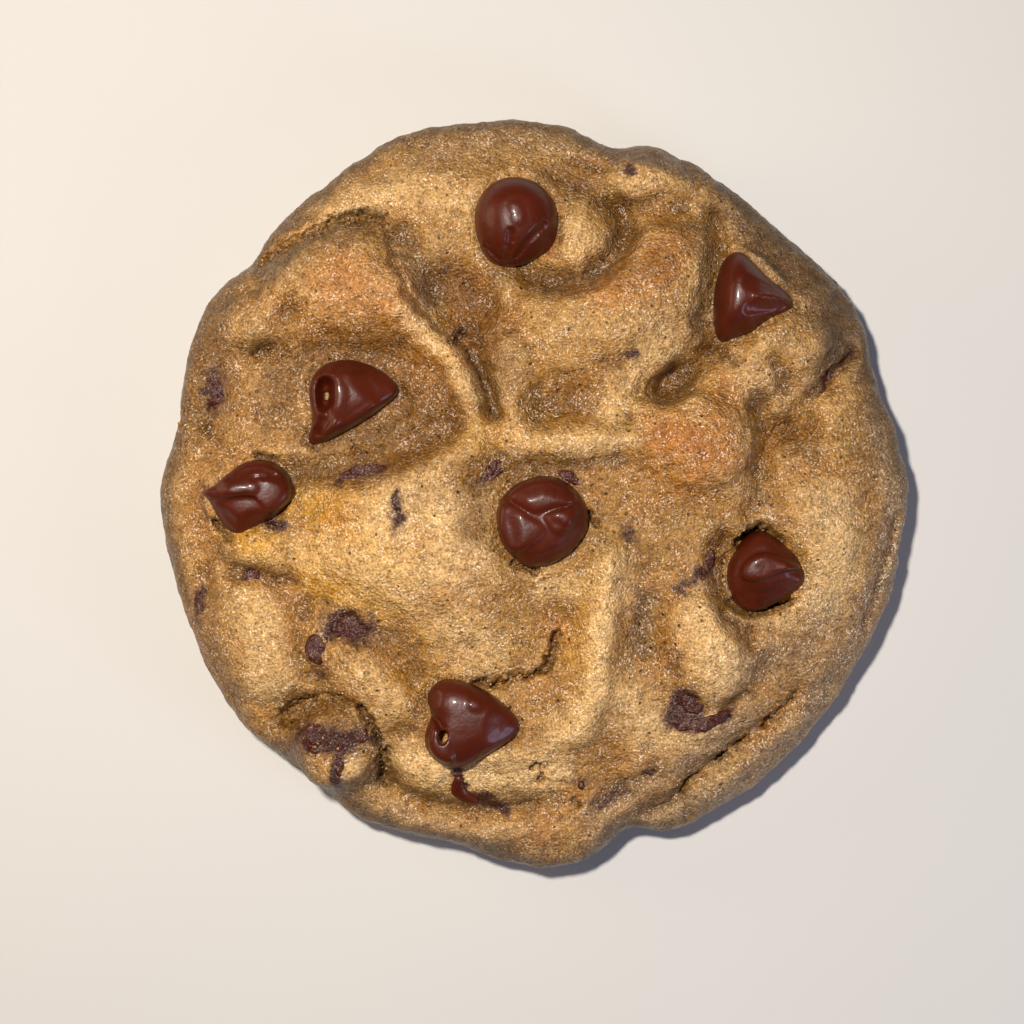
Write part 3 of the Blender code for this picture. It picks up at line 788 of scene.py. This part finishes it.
# Crest and ridge lay painted highlight; valley, hollow, side and the grey tone lay painted shade; the pale
# and brown tones are partly painted light and shade.
for tone_name, tone_colour, share in (
        ("crest_highlight", DOUGH_PALE_AND_LIT, 0.40), ("golden", DOUGH_GOLDEN, 0.9), ("pale_and_lit", DOUGH_PALE_AND_LIT, 0.9),
        ("toasted", DOUGH_TOASTED, 0.9), ("brown_and_shade", DOUGH_BROWN_AND_SHADE, 0.8), ("cool_shade", DOUGH_COOL_SHADE, 0.8),
        ("side_shade", DOUGH_SIDE_SHADE, 0.85), ("valley_shade", DOUGH_WET_AND_VALLEY_SHADE, 0.65), ("wet", DOUGH_WET_AND_VALLEY_SHADE, 0.8),
        ("underside", DOUGH_BASE, 1.0), ("hollow_shade", DOUGH_DEEP_SHADE, 0.55),
        ("ridge_highlight", DOUGH_PALE_AND_LIT, 0.3)):
    colour = blend(tree, painted(tone_name, share), colour, tone_colour)
stained = arithmetic(tree, "ADD", painted("cocoa"), ramp(tree, blotches, 0.3, 0.7, -0.3, 0.3))
colour = blend(tree, ramp(tree, stained, 0.10, 0.60, 0.0, 0.7), colour, COCOA_HALO)
colour = blend(tree, ramp(tree, stained, 0.45, 0.85, 0.0, 0.95), colour, COCOA_STAIN)
# Pores are painted dark: painted shade in the tiny pits.
colour = blend(tree, arithmetic(tree, "MULTIPLY", crumb.outputs["Pores"], 0.8), colour, DOUGH_DEEP_SHADE)
tinted = blend(tree, ramp(tree, crumb.outputs["Tone"], -0.8, 0.8), CRUMB_DARK, CRUMB_LIGHT)
toned = blend(tree, 1.0, colour, tinted, "MULTIPLY")
# Painted glints: the sugar grains are painted near-white, in patches, as painted highlights.
sugar_glint_share = ramp(tree, sugar_glint_patches, 0.40, 0.58, 0.20, 0.90)
sparkle = arithmetic(tree, "MULTIPLY", crumb.outputs["Sugar"], sugar_glint_share)
bare = ramp(tree, stained, 0.30, 0.75, 1.0, 0.35)
bare = arithmetic(tree, "SUBTRACT", bare, painted("brown_and_shade", 0.35))
bare = arithmetic(tree, "MAXIMUM", arithmetic(tree, "SUBTRACT", bare, painted("side_shade", 0.45)), 0.1)
sparkle = arithmetic(tree, "MULTIPLY", sparkle, bare)
glint = blend(tree, 0.60, blend(tree, 1.0, toned, SUGAR_GLINT_BRIGHTENING, "MULTIPLY"), SUGAR_GLINT_WHITE)
colour = blend(tree, sparkle, toned, glint)
tree.links.new(colour, shader.inputs["Base Color"])
gloss = ramp(tree, blotches, 0.35, 0.65, 0.28, 0.44)
gloss = arithmetic(tree, "SUBTRACT", gloss, painted("wet", 0.08))
gloss = arithmetic(tree, "SUBTRACT", gloss, arithmetic(tree, "MULTIPLY", crumb.outputs["Sugar"], 0.10))
tree.links.new(gloss, shader.inputs["Roughness"])
rough = node(tree, "Bump", None, Strength=1.0, Distance=0.00026, Height=crumb.outputs["Height"])
tree.links.new(rough.outputs[0], shader.inputs["Normal"])
shader.inputs["Specular IOR Level"].default_value = 0.38

dough.data.materials.clear()
dough.data.materials.append(baked)
for face in dough.data.polygons:
    face.use_smooth = True
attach(dough, "root")
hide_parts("dough")

skin = BVHTree.FromPolygons([v.co for v in dough.data.vertices], [f.vertices for f in dough.data.polygons])


def skin_height(x, y):
    """How high the dough stands at a place, in millimetres."""
    above = Vector(((x + ROUND_MIDDLE.x) * MM, (y + ROUND_MIDDLE.y) * MM, 0.05))
    hit = skin.ray_cast(above, Vector((0, 0, -1)))
    return hit[0].z / MM if hit[0] else 0.0

# ---- Chocolate chips on top ----
# Seven drops of softened chocolate, about 10 mm across, pressed into the dough and slumped by the
# oven. Each is drawn up from the ring where the dough grips it, melted smooth, then creased.
CHIP_SKIN = 0.17
CHOCOLATE_DARK = (0.061, 0.0070, 0.0010, 1.0)
CHOCOLATE_WARM = (0.080, 0.0110, 0.0030, 1.0)

chocolate = bpy.data.materials.new("softened chocolate")
chocolate.use_nodes = True
tree = chocolate.node_tree
shader = tree.nodes["Principled BSDF"]
where = tree.nodes.new("ShaderNodeTexCoord").outputs["Object"]
cloud = mottle(tree, where, 3.8, 3.0)
waves = mottle(tree, where, 1.6, 3.0)
specked = mottle(tree, where, 0.3, 2.0)
colour = blend(tree, ramp(tree, cloud, 0.35, 0.7), CHOCOLATE_DARK, CHOCOLATE_WARM)
tree.links.new(colour, shader.inputs["Base Color"])
tree.links.new(ramp(tree, waves, 0.3, 0.7, 0.33, 0.44), shader.inputs["Roughness"])
relief = arithmetic(tree, "ADD", arithmetic(tree, "MULTIPLY", specked, 0.16), waves)
bump = node(tree, "Bump", None, Strength=0.5, Distance=0.00015, Height=relief)
tree.links.new(bump.outputs[0], shader.inputs["Normal"])
shader.inputs["Specular IOR Level"].default_value = 0.24
shader.inputs["Coat Weight"].default_value = 0.12
shader.inputs["Coat Roughness"].default_value = 0.10

# How a drop swells from its buried foot to its top: (share of its height, share of its width).
# Below 0 is under the grip of the dough, and above 0 is over it.
ROUND_DROP = [
    (-1, 0.40), (-0.7, 0.78), (-0.3, 0.96), (0, 1), (0.35, 0.95), (0.62, 0.81), (0.84, 0.57), (0.96, 0.28)]
CUSHION_DROP = [
    (-1, 0.50), (-0.6, 0.84), (-0.2, 0.97), (0, 1), (0.40, 0.97), (0.70, 0.87), (0.90, 0.66), (0.99, 0.36)]
LEANING_DROP = [
    (-1, 0.50), (-0.6, 0.84), (-0.2, 0.97), (0, 1), (0.30, 0.93), (0.58, 0.76), (0.82, 0.52), (0.95, 0.26)]
FLAP = [(-1, 0.92), (0, 1), (0.6, 1), (0.84, 0.94), (0.95, 0.80), (1, 0.45)]
SHRINKS = 1.035           # an outline is pulled this much too wide, because melting rounds it off


def middle_of(ring):
    return sum((Vector(point) for point in ring), Vector((0, 0))) / len(ring)


def pull_up(ring, grip, foot, height, top, swell):
    """Pull a ring of chocolate to its outline, and draw it up step by step to a closed top."""
    bpy.ops.object.select_all(action="DESELECT")
    bpy.ops.mesh.primitive_circle_add(vertices=len(ring), radius=MM, fill_type="NGON")
    drop = bpy.context.object
    middle = middle_of(ring)
    for corner, point in zip(drop.data.vertices, ring):
        spread = middle.lerp(Vector(point), swell[0][1] * SHRINKS)
        corner.co = Vector((spread.x + ROUND_MIDDLE.x, spread.y + ROUND_MIDDLE.y, grip - foot)) * MM
    bpy.ops.object.mode_set(mode="EDIT")
    bpy.ops.mesh.select_all(action="SELECT")
    for (rise, width), (next_rise, next_width) in zip(swell, swell[1:]):
        lift = (foot if next_rise <= 0 else height) * (next_rise - rise)
        centre = middle if next_rise <= 0 else Vector(top)
        bpy.ops.mesh.extrude_region_move(TRANSFORM_OT_translate={"value": (0.0, 0.0, lift * MM)})
        bpy.ops.transform.resize(
            value=(next_width / width, next_width / width, 1.0),
            center_override=Vector((centre.x + ROUND_MIDDLE.x, centre.y + ROUND_MIDDLE.y, 0.0)) * MM)
    bpy.ops.mesh.select_all(action="SELECT")
    bpy.ops.mesh.normals_make_consistent(inside=False)
    bpy.ops.object.mode_set(mode="OBJECT")
    finish_with(drop, "SUBSURF", levels=2, render_levels=2)
    return drop


def melt(name, drops, smoothing=4):
    """Melt drops into one even skin."""
    pick(drops[0])
    for drop in drops:
        drop.select_set(True)
    if len(drops) > 1:
        bpy.ops.object.join()
    piece = bpy.context.object
    piece.name = name
    finish_with(piece, "REMESH", mode="VOXEL", voxel_size=CHIP_SKIN * MM, use_smooth_shade=True)
    finish_with(piece, "SMOOTH", factor=0.5, iterations=smoothing)
    piece.data.materials.clear()
    piece.data.materials.append(chocolate)
    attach(piece, "root")
    return piece


def top_chip(name, number, top, swell, under_flaps=0.0, flaps=(), sunk=0.0):
    """One of the seven chips on top. Flaps that it folded into lie on it: (ring, how far below its top)."""
    solid = "top_chip_" + str(number)
    low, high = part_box(solid)
    ring = GRIPS[solid]
    grip = sum(skin_height(x, y) for x, y in ring) / len(ring) - sunk
    height = high.z / MM - grip - sunk * 0.5
    drops = [pull_up(ring, grip, grip - low.z / MM - 0.2, height - under_flaps, top, swell)]
    for flap, below in flaps:
        drops.append(pull_up(flap, grip + 0.3, 0.8, height - 0.3 - below, middle_of(flap), FLAP))
    chip = melt(name, drops)
    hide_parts(solid)
    return chip


PUNCH_DEPTH = 16.0        # longer than any chip is tall
PUNCH_MIDDLE = 12.0       # above the table


def pierce(chip, x, y, across, along_y):
    """Melt a hole right through a chip."""
    bpy.ops.object.select_all(action="DESELECT")
    bpy.ops.mesh.primitive_cylinder_add(
        vertices=32, radius=0.5 * MM, depth=PUNCH_DEPTH * MM,
        location=((x + ROUND_MIDDLE.x) * MM, (y + ROUND_MIDDLE.y) * MM, PUNCH_MIDDLE * MM))
    punch = bpy.context.object
    punch.scale = (across, along_y, 1.0)
    bpy.ops.object.transform_apply(location=True, rotation=True, scale=True)
    finish_with(chip, "BOOLEAN", operation="DIFFERENCE", object=punch)
    bpy.data.objects.remove(punch)
    finish_with(chip, "REMESH", mode="VOXEL", voxel_size=CHIP_SKIN * MM, use_smooth_shade=True)
    finish_with(chip, "SMOOTH", factor=0.5, iterations=3)


def crease(chip, strokes):
    """Press grooves and raise folds in the upper side of a chip."""
    pick(chip)
    bpy.ops.object.mode_set(mode="EDIT")
    bpy.ops.mesh.select_mode(type="VERT")
    feel()
    for stroke in strokes:
        mould(*stroke)
    bpy.ops.object.mode_set(mode="OBJECT")
    finish_with(chip, "SMOOTH", factor=0.5, iterations=1)


def ring_around(x, y, radius, stretch=1.0):
    return [(x + radius * math.cos(a * math.pi / 8), y + radius * stretch * math.sin(a * math.pi / 8))
            for a in range(17)]


ball_chip = top_chip("chip_round_ball", 1, (-1.8, 30.1), ROUND_DROP)
crease(ball_chip, [
    ([(1.6, 27.4), (0.8, 26.4), (-0.4, 25.5)], -0.9, 1.5),
    ([(1.2, 28.9), (0.2, 27.8), (-0.8, 26.8), (-1.8, 25.6)], -0.6, 0.6, "SMOOTH", 0.15),
    ([(-2.4, 28), (-2.6, 26.8), (-2.8, 25.5)], -0.5, 0.6, "SMOOTH", 0.15),
    ([(-5.1, 26.6), (-3.7, 25.4)], -0.6, 0.6, "SHARP", 0.2),
    ([(-3.4, 24.9), (-1.8, 25)], -0.6, 0.6, "SHARP", 0.2),
    ([(-1.9, 30.6), (-1.6, 29.4)], 0.15, 0.9, "SMOOTH", 0.3),
])

cone_chip = top_chip("chip_leaning_cone", 2, (22.6, 21.4), LEANING_DROP)
crease(cone_chip, [
    ([(24.2, 21.1), (26, 21.1), (27.8, 20.7)], 0.3, 0.5, "SHARP", 0.2),
    ([(23.4, 19.8), (25.2, 20), (27, 20.3)], -0.35, 0.8, "SMOOTH", 0.2),
    ([(23.4, 22.6), (25.2, 22.2)], -0.2, 1, "SMOOTH", 0.2),
])

curled_chip = top_chip("chip_curled_left", 3, (-19.6, 10.9), CUSHION_DROP, 0.2)
crease(curled_chip, [
    (ring_around(-22.5, 10.5, 1.5, 1.25), 0.25, 1.1, "SMOOTH", 0.3),
    ([(-22.5, 11.4), (-22.5, 9.8)], -2.2, 1.2, "SMOOTH", 0.3),
    ([(-22, 8.6), (-22.6, 7.6), (-23.2, 6.6)], -0.7, 0.8, "SMOOTH", 0.2),
    ([(-16.6, 11.6), (-17.6, 12.8)], -0.7, 2.2, "SMOOTH", 0.5),
    ([(-19.6, 7.6), (-17.2, 9.2)], 0.3, 0.9, "SMOOTH", 0.2),
    ([(-21.4, 7.2), (-22.4, 6)], 0.25, 0.7, "SMOOTH", 0.2),
    ([(-23.6, 5.6)], -0.9, 1.3),
    ([(-20.6, 13.9), (-18.2, 13.4)], -0.4, 1, "SMOOTH", 0.3),
])
pierce(curled_chip, -22.5, 10.5, 0.65, 1.1)

pinched_chip = top_chip("chip_pinched_bead", 4, (-30, -0.4), CUSHION_DROP, 0.8, [
    ([(-36, 0), (-35.2, 0.4), (-34.4, 0.6), (-33.6, 1.5), (-32.2, 2.7), (-30.7, 3.3), (-29.3, 3.3),
      (-27.9, 2.8),
      (-26.9, 2), (-26.5, 0.7), (-26.2, -0.4), (-27.2, -1.6), (-28.4, -2.5), (-29, -1.8), (-29.3, -1),
      (-30.2, -0.5), (-31.4, -0.5), (-33.2, -0.8), (-34.8, -0.8), (-35.5, -0.5)], 0.1)])
crease(pinched_chip, [
    ([(-33.6, -3), (-32.2, -4.2), (-30.2, -3.4)], -0.6, 1.4),
    ([(-35.4, 0), (-34.6, 0)], -0.5, 1.4, "SMOOTH", 0.3),
    ([(-32.6, 2.2), (-29.6, 2.9), (-27.2, 2)], -0.5, 1.2, "SMOOTH", 0.3),
    ([(-30.2, 1.5), (-28, 1.7)], -0.25, 0.5, "SHARP", 0.2),
    ([(-32.4, 0.2), (-30.4, 0.4)], 0.2, 0.8, "SMOOTH", 0.3),
])

folded_chip = top_chip("chip_folded_disc", 5, (0.9, -2.9), CUSHION_DROP, 0.45, [
    ([(-3.8, -1.7), (-3, -0.8), (-1.5, -1.5), (-0.3, -2.4), (1.5, -3.3), (2, -4.2), (0.9, -5.4),
      (-0.4, -6.2),
      (-2, -6.6), (-3.1, -6), (-3.7, -4.4)], 0.15),
    ([(-3.1, -0.8), (-1.6, 0.8), (1, 1.6), (2.8, 1.3), (4.4, 0.1), (4.9, -1.2), (3.3, -1.6), (2, -1.9),
      (0.7, -2.3), (-0.1, -2.6), (-1.4, -1.7)], 0.0),
    ([(0.5, -2.4), (2, -2), (3.3, -1.6), (4.9, -1.3), (4.7, -3), (3.8, -4.7), (2.2, -4.9),
      (1.3, -3.8)], 0.1)])
crease(folded_chip, [
    ([(-2.6, -5), (-3.2, -2.4), (-1.6, 0.4), (1.2, 1.3), (3.8, 0.4)], -0.4, 1.6, "SMOOTH", 0.3),
    ([(2.6, -2.4), (3.6, -3)], 0.25, 0.9, "SMOOTH", 0.2),
    ([(5.4, -2.6), (5, -4.6), (3.2, -6.4), (0.6, -7.6), (-1.4, -7.2)], -0.3, 1, "SMOOTH", 0.3),
])

buried_chip = top_chip("chip_in_its_hole", 6, (25.4, -8.6), CUSHION_DROP, 1.1, [
    ([(22.3, -9.3), (22.6, -8), (23.6, -6.9), (24.9, -6.4), (26.4, -6.8), (28, -7.4), (29.4, -8.2),
      (28.6, -8.5), (27.2, -8.6), (26, -9.1), (24.8, -9.7), (23.4, -9.9)], 0.0)], 0.5)
crease(buried_chip, [
    ([(23.6, -11.6), (25.6, -11.6), (28, -10.8)], -0.7, 1.6, "SMOOTH", 0.5),
    ([(23.6, -8.8), (26.4, -7.6)], -0.15, 1.2, "SMOOTH", 0.3),
    ([(29, -8.2)], -0.5, 1.6, "SMOOTH", 0.3),
])

heart_chip = top_chip("chip_heart_with_curl", 7, (-7, -24.4), CUSHION_DROP, 0.3, [
    ([(-11.4, -27), (-11, -25.4), (-10.4, -24.6), (-9.4, -24.9), (-8.7, -26.2), (-8.6, -27.8),
      (-8.2, -29.4),
      (-9.6, -29.4), (-11, -28.4)], 0.3)])
pierce(heart_chip, -9.7, -26.4, 1.0, 1.6)
crease(heart_chip, [
    ([(-10.9, -24.1), (-10.3, -24.8), (-9.9, -25.4)], -0.8, 0.6, "SHARP", 0.2),
    ([(-3, -25.4)], -0.6, 2.2, "SMOOTH", 0.5),
    ([(-6.2, -22.8)], 0.2, 1, "SMOOTH", 0.3),
    ([(-11, -22.4)], -0.4, 1.2, "SMOOTH", 0.3),
])

# ---- Chips sunk in the dough ----
# Five chips that the dough rose over: only a shoulder of each shows through a break in the crust.
# Their skin is sandy with crumbs that carry painted glints, and the dough closes over their edges unevenly.
CLEAN_CHOCOLATE = (0.052, 0.0064, 0.0016, 1.0)
DUSTED_CHOCOLATE = (0.072, 0.0230, 0.0120, 1.0)
CRUMB_AND_GLINT_ON_CHOCOLATE = (0.320, 0.1800, 0.1300, 1.0)

sandy_chocolate = bpy.data.materials.new("chocolate dusted with crumbs")
sandy_chocolate.use_nodes = True
tree = sandy_chocolate.node_tree
shader = tree.nodes["Principled BSDF"]
where = tree.nodes.new("ShaderNodeTexCoord").outputs["Object"]
crumb = tree.nodes.new("ShaderNodeGroup")
crumb.node_tree = grain
tree.links.new(where, crumb.inputs["Place"])
dusted = ramp(tree, mottle(tree, where, 1.6, 4.0, 0.7), 0.49, 0.64)
# Painted glints: the sugar grains of the crumbs on the chocolate are painted light.
crumbs_and_glints_on_it = arithmetic(tree, "MULTIPLY", crumb.outputs["Sugar"], dusted)
colour = blend(tree, dusted, CLEAN_CHOCOLATE, DUSTED_CHOCOLATE)
colour = blend(tree, crumbs_and_glints_on_it, colour, CRUMB_AND_GLINT_ON_CHOCOLATE)
tree.links.new(colour, shader.inputs["Base Color"])
tree.links.new(ramp(tree, dusted, 0.0, 1.0, 0.30, 0.50), shader.inputs["Roughness"])
rough = node(tree, "Bump", None, Strength=0.9, Distance=0.00022, Height=crumb.outputs["Height"])
tree.links.new(rough.outputs[0], shader.inputs["Normal"])
shader.inputs["Specular IOR Level"].default_value = 0.35


def showing(name, patches, proud=0.1, foot=1.6):
    """Chocolate that shows through the crust in patches, each an outline on the skin of the dough."""
    drops = []
    for patch in patches:
        centre = middle_of(patch)
        grip = sum(skin_height(x, y) for x, y in patch) / len(patch) - 0.25
        rise = max(skin_height(*centre) - grip, 0.0) + proud
        drops.append(pull_up(patch, grip, foot, rise, centre, CUSHION_DROP))
    piece = melt(name, drops, 3)
    for size, strength in ((1.2, 0.35), (0.45, 0.15)):
        sandy = bpy.data.textures.new(name, "CLOUDS")
        sandy.noise_scale = size * MM
        finish_with(piece, "DISPLACE", texture=sandy, texture_coords="LOCAL", mid_level=0.5,
                    strength=strength * MM)
    piece.data.materials.clear()
    piece.data.materials.append(sandy_chocolate)
    return piece


left_edge_chip = showing("sunk_chip_left_edge", [
    [(-36.2, 11.4), (-35.9, 12.8), (-34.8, 13.4), (-33.8, 12.4), (-33.4, 11), (-33.9, 9.6),
      (-34.8, 9), (-35.8, 9.8)]])
lower_left_chip = showing("sunk_chip_lower_left", [
    [(-25, -16.9), (-24.3, -15.5), (-22.8, -15.2), (-21.7, -15.9), (-21.3, -17), (-22, -18.4), (-23.2, -19),
     (-24.6, -18.3)],
    [(-21.9, -16.9), (-21.5, -16), (-21.6, -14.4), (-20.6, -13.4), (-19, -13.3), (-17.9, -14.4),
      (-18, -15.8),
     (-18.8, -16.5), (-20.4, -17)]])
bubble_chip = showing("sunk_chip_under_bubble", [
    [(-25.5, -26.6), (-24.6, -25.2), (-22.6, -25), (-21.8, -26), (-22, -28.2), (-23.4, -29), (-25, -28.2)],
    [(-21.9, -25.4), (-20.5, -25.2), (-20.4, -28), (-20.6, -31), (-21.6, -31.4), (-21.7, -28)],
    [(-19.8, -25.4), (-18.2, -25.4), (-17.6, -26.6), (-18.6, -27.6), (-19.8, -27)]])
lower_right_chip = showing("sunk_chip_lower_right", [
    [(15.9, -22), (17.2, -21.2), (18.6, -22), (18.8, -23.6), (17.6, -24.4), (16.2, -23.8)],
    [(14.2, -24.2), (15.8, -23.9), (17.6, -24.8), (19.2, -24.4), (21.4, -23.6), (21.6, -24.4),
      (19.8, -25.9),
     (18.2, -26.5), (15.8, -26.3), (14.4, -25.4)]])
beside_hole_chip = showing("sunk_chip_beside_hole", [
    [(17.9, -7.8), (18.4, -6.4), (19.6, -6), (19.9, -7.2), (19.3, -8.9), (18.2, -9.3)]])
sunk_chips = [left_edge_chip, lower_left_chip, bubble_chip, lower_right_chip, beside_hole_chip]
for number, piece in enumerate(sunk_chips, 1):
    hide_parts("sunk_chip_" + str(number))

# ---- Small bits of melted chocolate ----
# Corners and smears of broken chips that the crust let through, and one drip that ran down the dough.
showing("small_chocolate_bits", [
    [(-32.3, -9.4), (-31.5, -8.3), (-30, -8.4), (-29.7, -9.5), (-31, -10.8)],
    [(-21.6, 1.3), (-19.8, 2.7), (-17.2, 3.3), (-15.2, 2.6), (-16.6, 1), (-19.4, 0.4)],
    [(-6.5, 1.3), (-5.6, 2.9), (-3.4, 3.8), (-2.4, 2.9), (-3.6, 1.6), (-5.2, 0.8)],
    [(2.2, 2.1), (3.8, 2.6), (5.6, 1.6), (5.4, 0.3), (3.8, 0.8)],
    [(4.7, -31.2), (5.6, -31), (5.9, -32.5), (5, -32.8)],
    [(-37.4, -11.6), (-36.4, -10.1), (-35.5, -10.6), (-36.2, -12.6), (-37.4, -13.4)],
], 0.10, 0.9)

# The drip below the heart-shaped chip ran down the dough after the rest had set.
drip = []
for x, y, width in (
        (-8.1, -31.4, 1.2), (-8.2, -32.0, 1.6), (-8.1, -32.6, 1.9),
        (-7.6, -33.1, 1.8), (-7.0, -33.5, 1.4), (-6.4, -33.8, 1.0)):
    ring = ring_around(x, y, width / 2)[:-1]
    drip.append(pull_up(ring, skin_height(x, y) - 0.3, 0.7, 0.8, (x, y), CUSHION_DROP))
melt("chocolate_drip", drip, 6)

# ---- Loose crumbs ----
# Broken bits of the crust, a fraction of a millimetre across, left along the cracks and torn edges.
CRUMBS_PER_MM = 2.2
chance = random.Random(7)
bpy.ops.object.select_all(action="DESELECT")
bpy.ops.mesh.primitive_ico_sphere_add(subdivisions=2, radius=0.5 * MM)
first_crumb = bpy.context.object
first_crumb.name = "loose_crumbs"
crumbs = []
for path in torn_places:
    steps = along(path, 1.0 / CRUMBS_PER_MM)
    for x, y in steps:
        x += chance.gauss(0, 0.8)
        y += chance.gauss(0, 0.8)
        floor = skin_height(x, y)
        if floor < 4.0:
            continue
        crumb_copy = bpy.data.objects.new("crumb", first_crumb.data.copy())
        bpy.context.scene.collection.objects.link(crumb_copy)
        size = chance.uniform(0.15, 0.55)
        crumb_copy.scale = (size, size * chance.uniform(0.6, 1), size * chance.uniform(0.5, 0.9))
        crumb_copy.rotation_euler = (chance.uniform(0, 3), chance.uniform(0, 3), chance.uniform(0, 3))
        crumb_copy.location = Vector((x + ROUND_MIDDLE.x, y + ROUND_MIDDLE.y, floor + 0.12 * size)) * MM
        crumbs.append(crumb_copy)
bpy.data.objects.remove(first_crumb)
pick(crumbs[0])
for crumb_copy in crumbs:
    crumb_copy.select_set(True)
bpy.ops.object.join()
loose_crumbs = bpy.context.object
loose_crumbs.name = "loose_crumbs"
bpy.ops.object.transform_apply(location=True, rotation=True, scale=True)
uneven = bpy.data.textures.new("uneven crumb", "CLOUDS")
uneven.noise_scale = 0.25 * MM
finish_with(loose_crumbs, "DISPLACE", texture=uneven, texture_coords="LOCAL", mid_level=0.5,
            strength=0.16 * MM)
loose_crumbs.data.materials.clear()
loose_crumbs.data.materials.append(baked)
for face in loose_crumbs.data.polygons:
    face.use_smooth = True
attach(loose_crumbs, "root")

# ---- Table, light and camera ----
# A plain pale tabletop, one small soft lamp beside the camera and two weak fills.
bpy.ops.object.select_all(action="DESELECT")
bpy.ops.mesh.primitive_plane_add(size=4.0, location=(0, 0, -0.00005))
table = bpy.context.object
table.name = "pale_tabletop"
tabletop = bpy.data.materials.new("pale tabletop")
tabletop.use_nodes = True
tabletop.node_tree.nodes["Principled BSDF"].inputs["Base Color"].default_value = (0.62, 0.59, 0.55, 1.0)
tabletop.node_tree.nodes["Principled BSDF"].inputs["Roughness"].default_value = 0.8
table.data.materials.append(tabletop)
table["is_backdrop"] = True


def lamp(name, place_mm, size_mm, watts, colour):
    """A round soft lamp that points at the middle of the cookie."""
    light = bpy.data.lights.new(name, "AREA")
    light.shape = "DISK"
    light.size = size_mm * MM
    light.energy = watts
    light.color = colour
    holder = bpy.data.objects.new(name, light)
    holder.location = Vector(place_mm) * MM
    holder.rotation_euler = (-holder.location).to_track_quat("-Z", "Y").to_euler()
    bpy.context.scene.collection.objects.link(holder)


lamp("main lamp", (-55, 50, 300), 22, 1.15, (1.0, 0.96, 0.90))
lamp("cool fill", (230, -150, 130), 110, 0.26, (0.60, 0.68, 1.0))
lamp("warm fill", (-260, 60, 90), 160, 0.20, (1.0, 0.75, 0.5))

world = bpy.data.worlds.new("soft room")
bpy.context.scene.world = world
world.use_nodes = True
world.node_tree.nodes["Background"].inputs["Color"].default_value = (0.9, 0.93, 1.0, 1.0)
world.node_tree.nodes["Background"].inputs["Strength"].default_value = 0.06

CAMERA_PLACE = Vector((-2.50, -2.07, 300.0))
CAMERA_LENS = 92.9
camera = bpy.data.cameras.new("camera")
camera.lens = CAMERA_LENS
camera.sensor_width = 36.0
camera.clip_start = 0.01
viewer = bpy.data.objects.new("camera", camera)
viewer.location = CAMERA_PLACE * MM
bpy.context.scene.collection.objects.link(viewer)
bpy.context.scene.camera = viewer
bpy.context.scene.view_settings.view_transform = "Standard"

low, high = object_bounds()
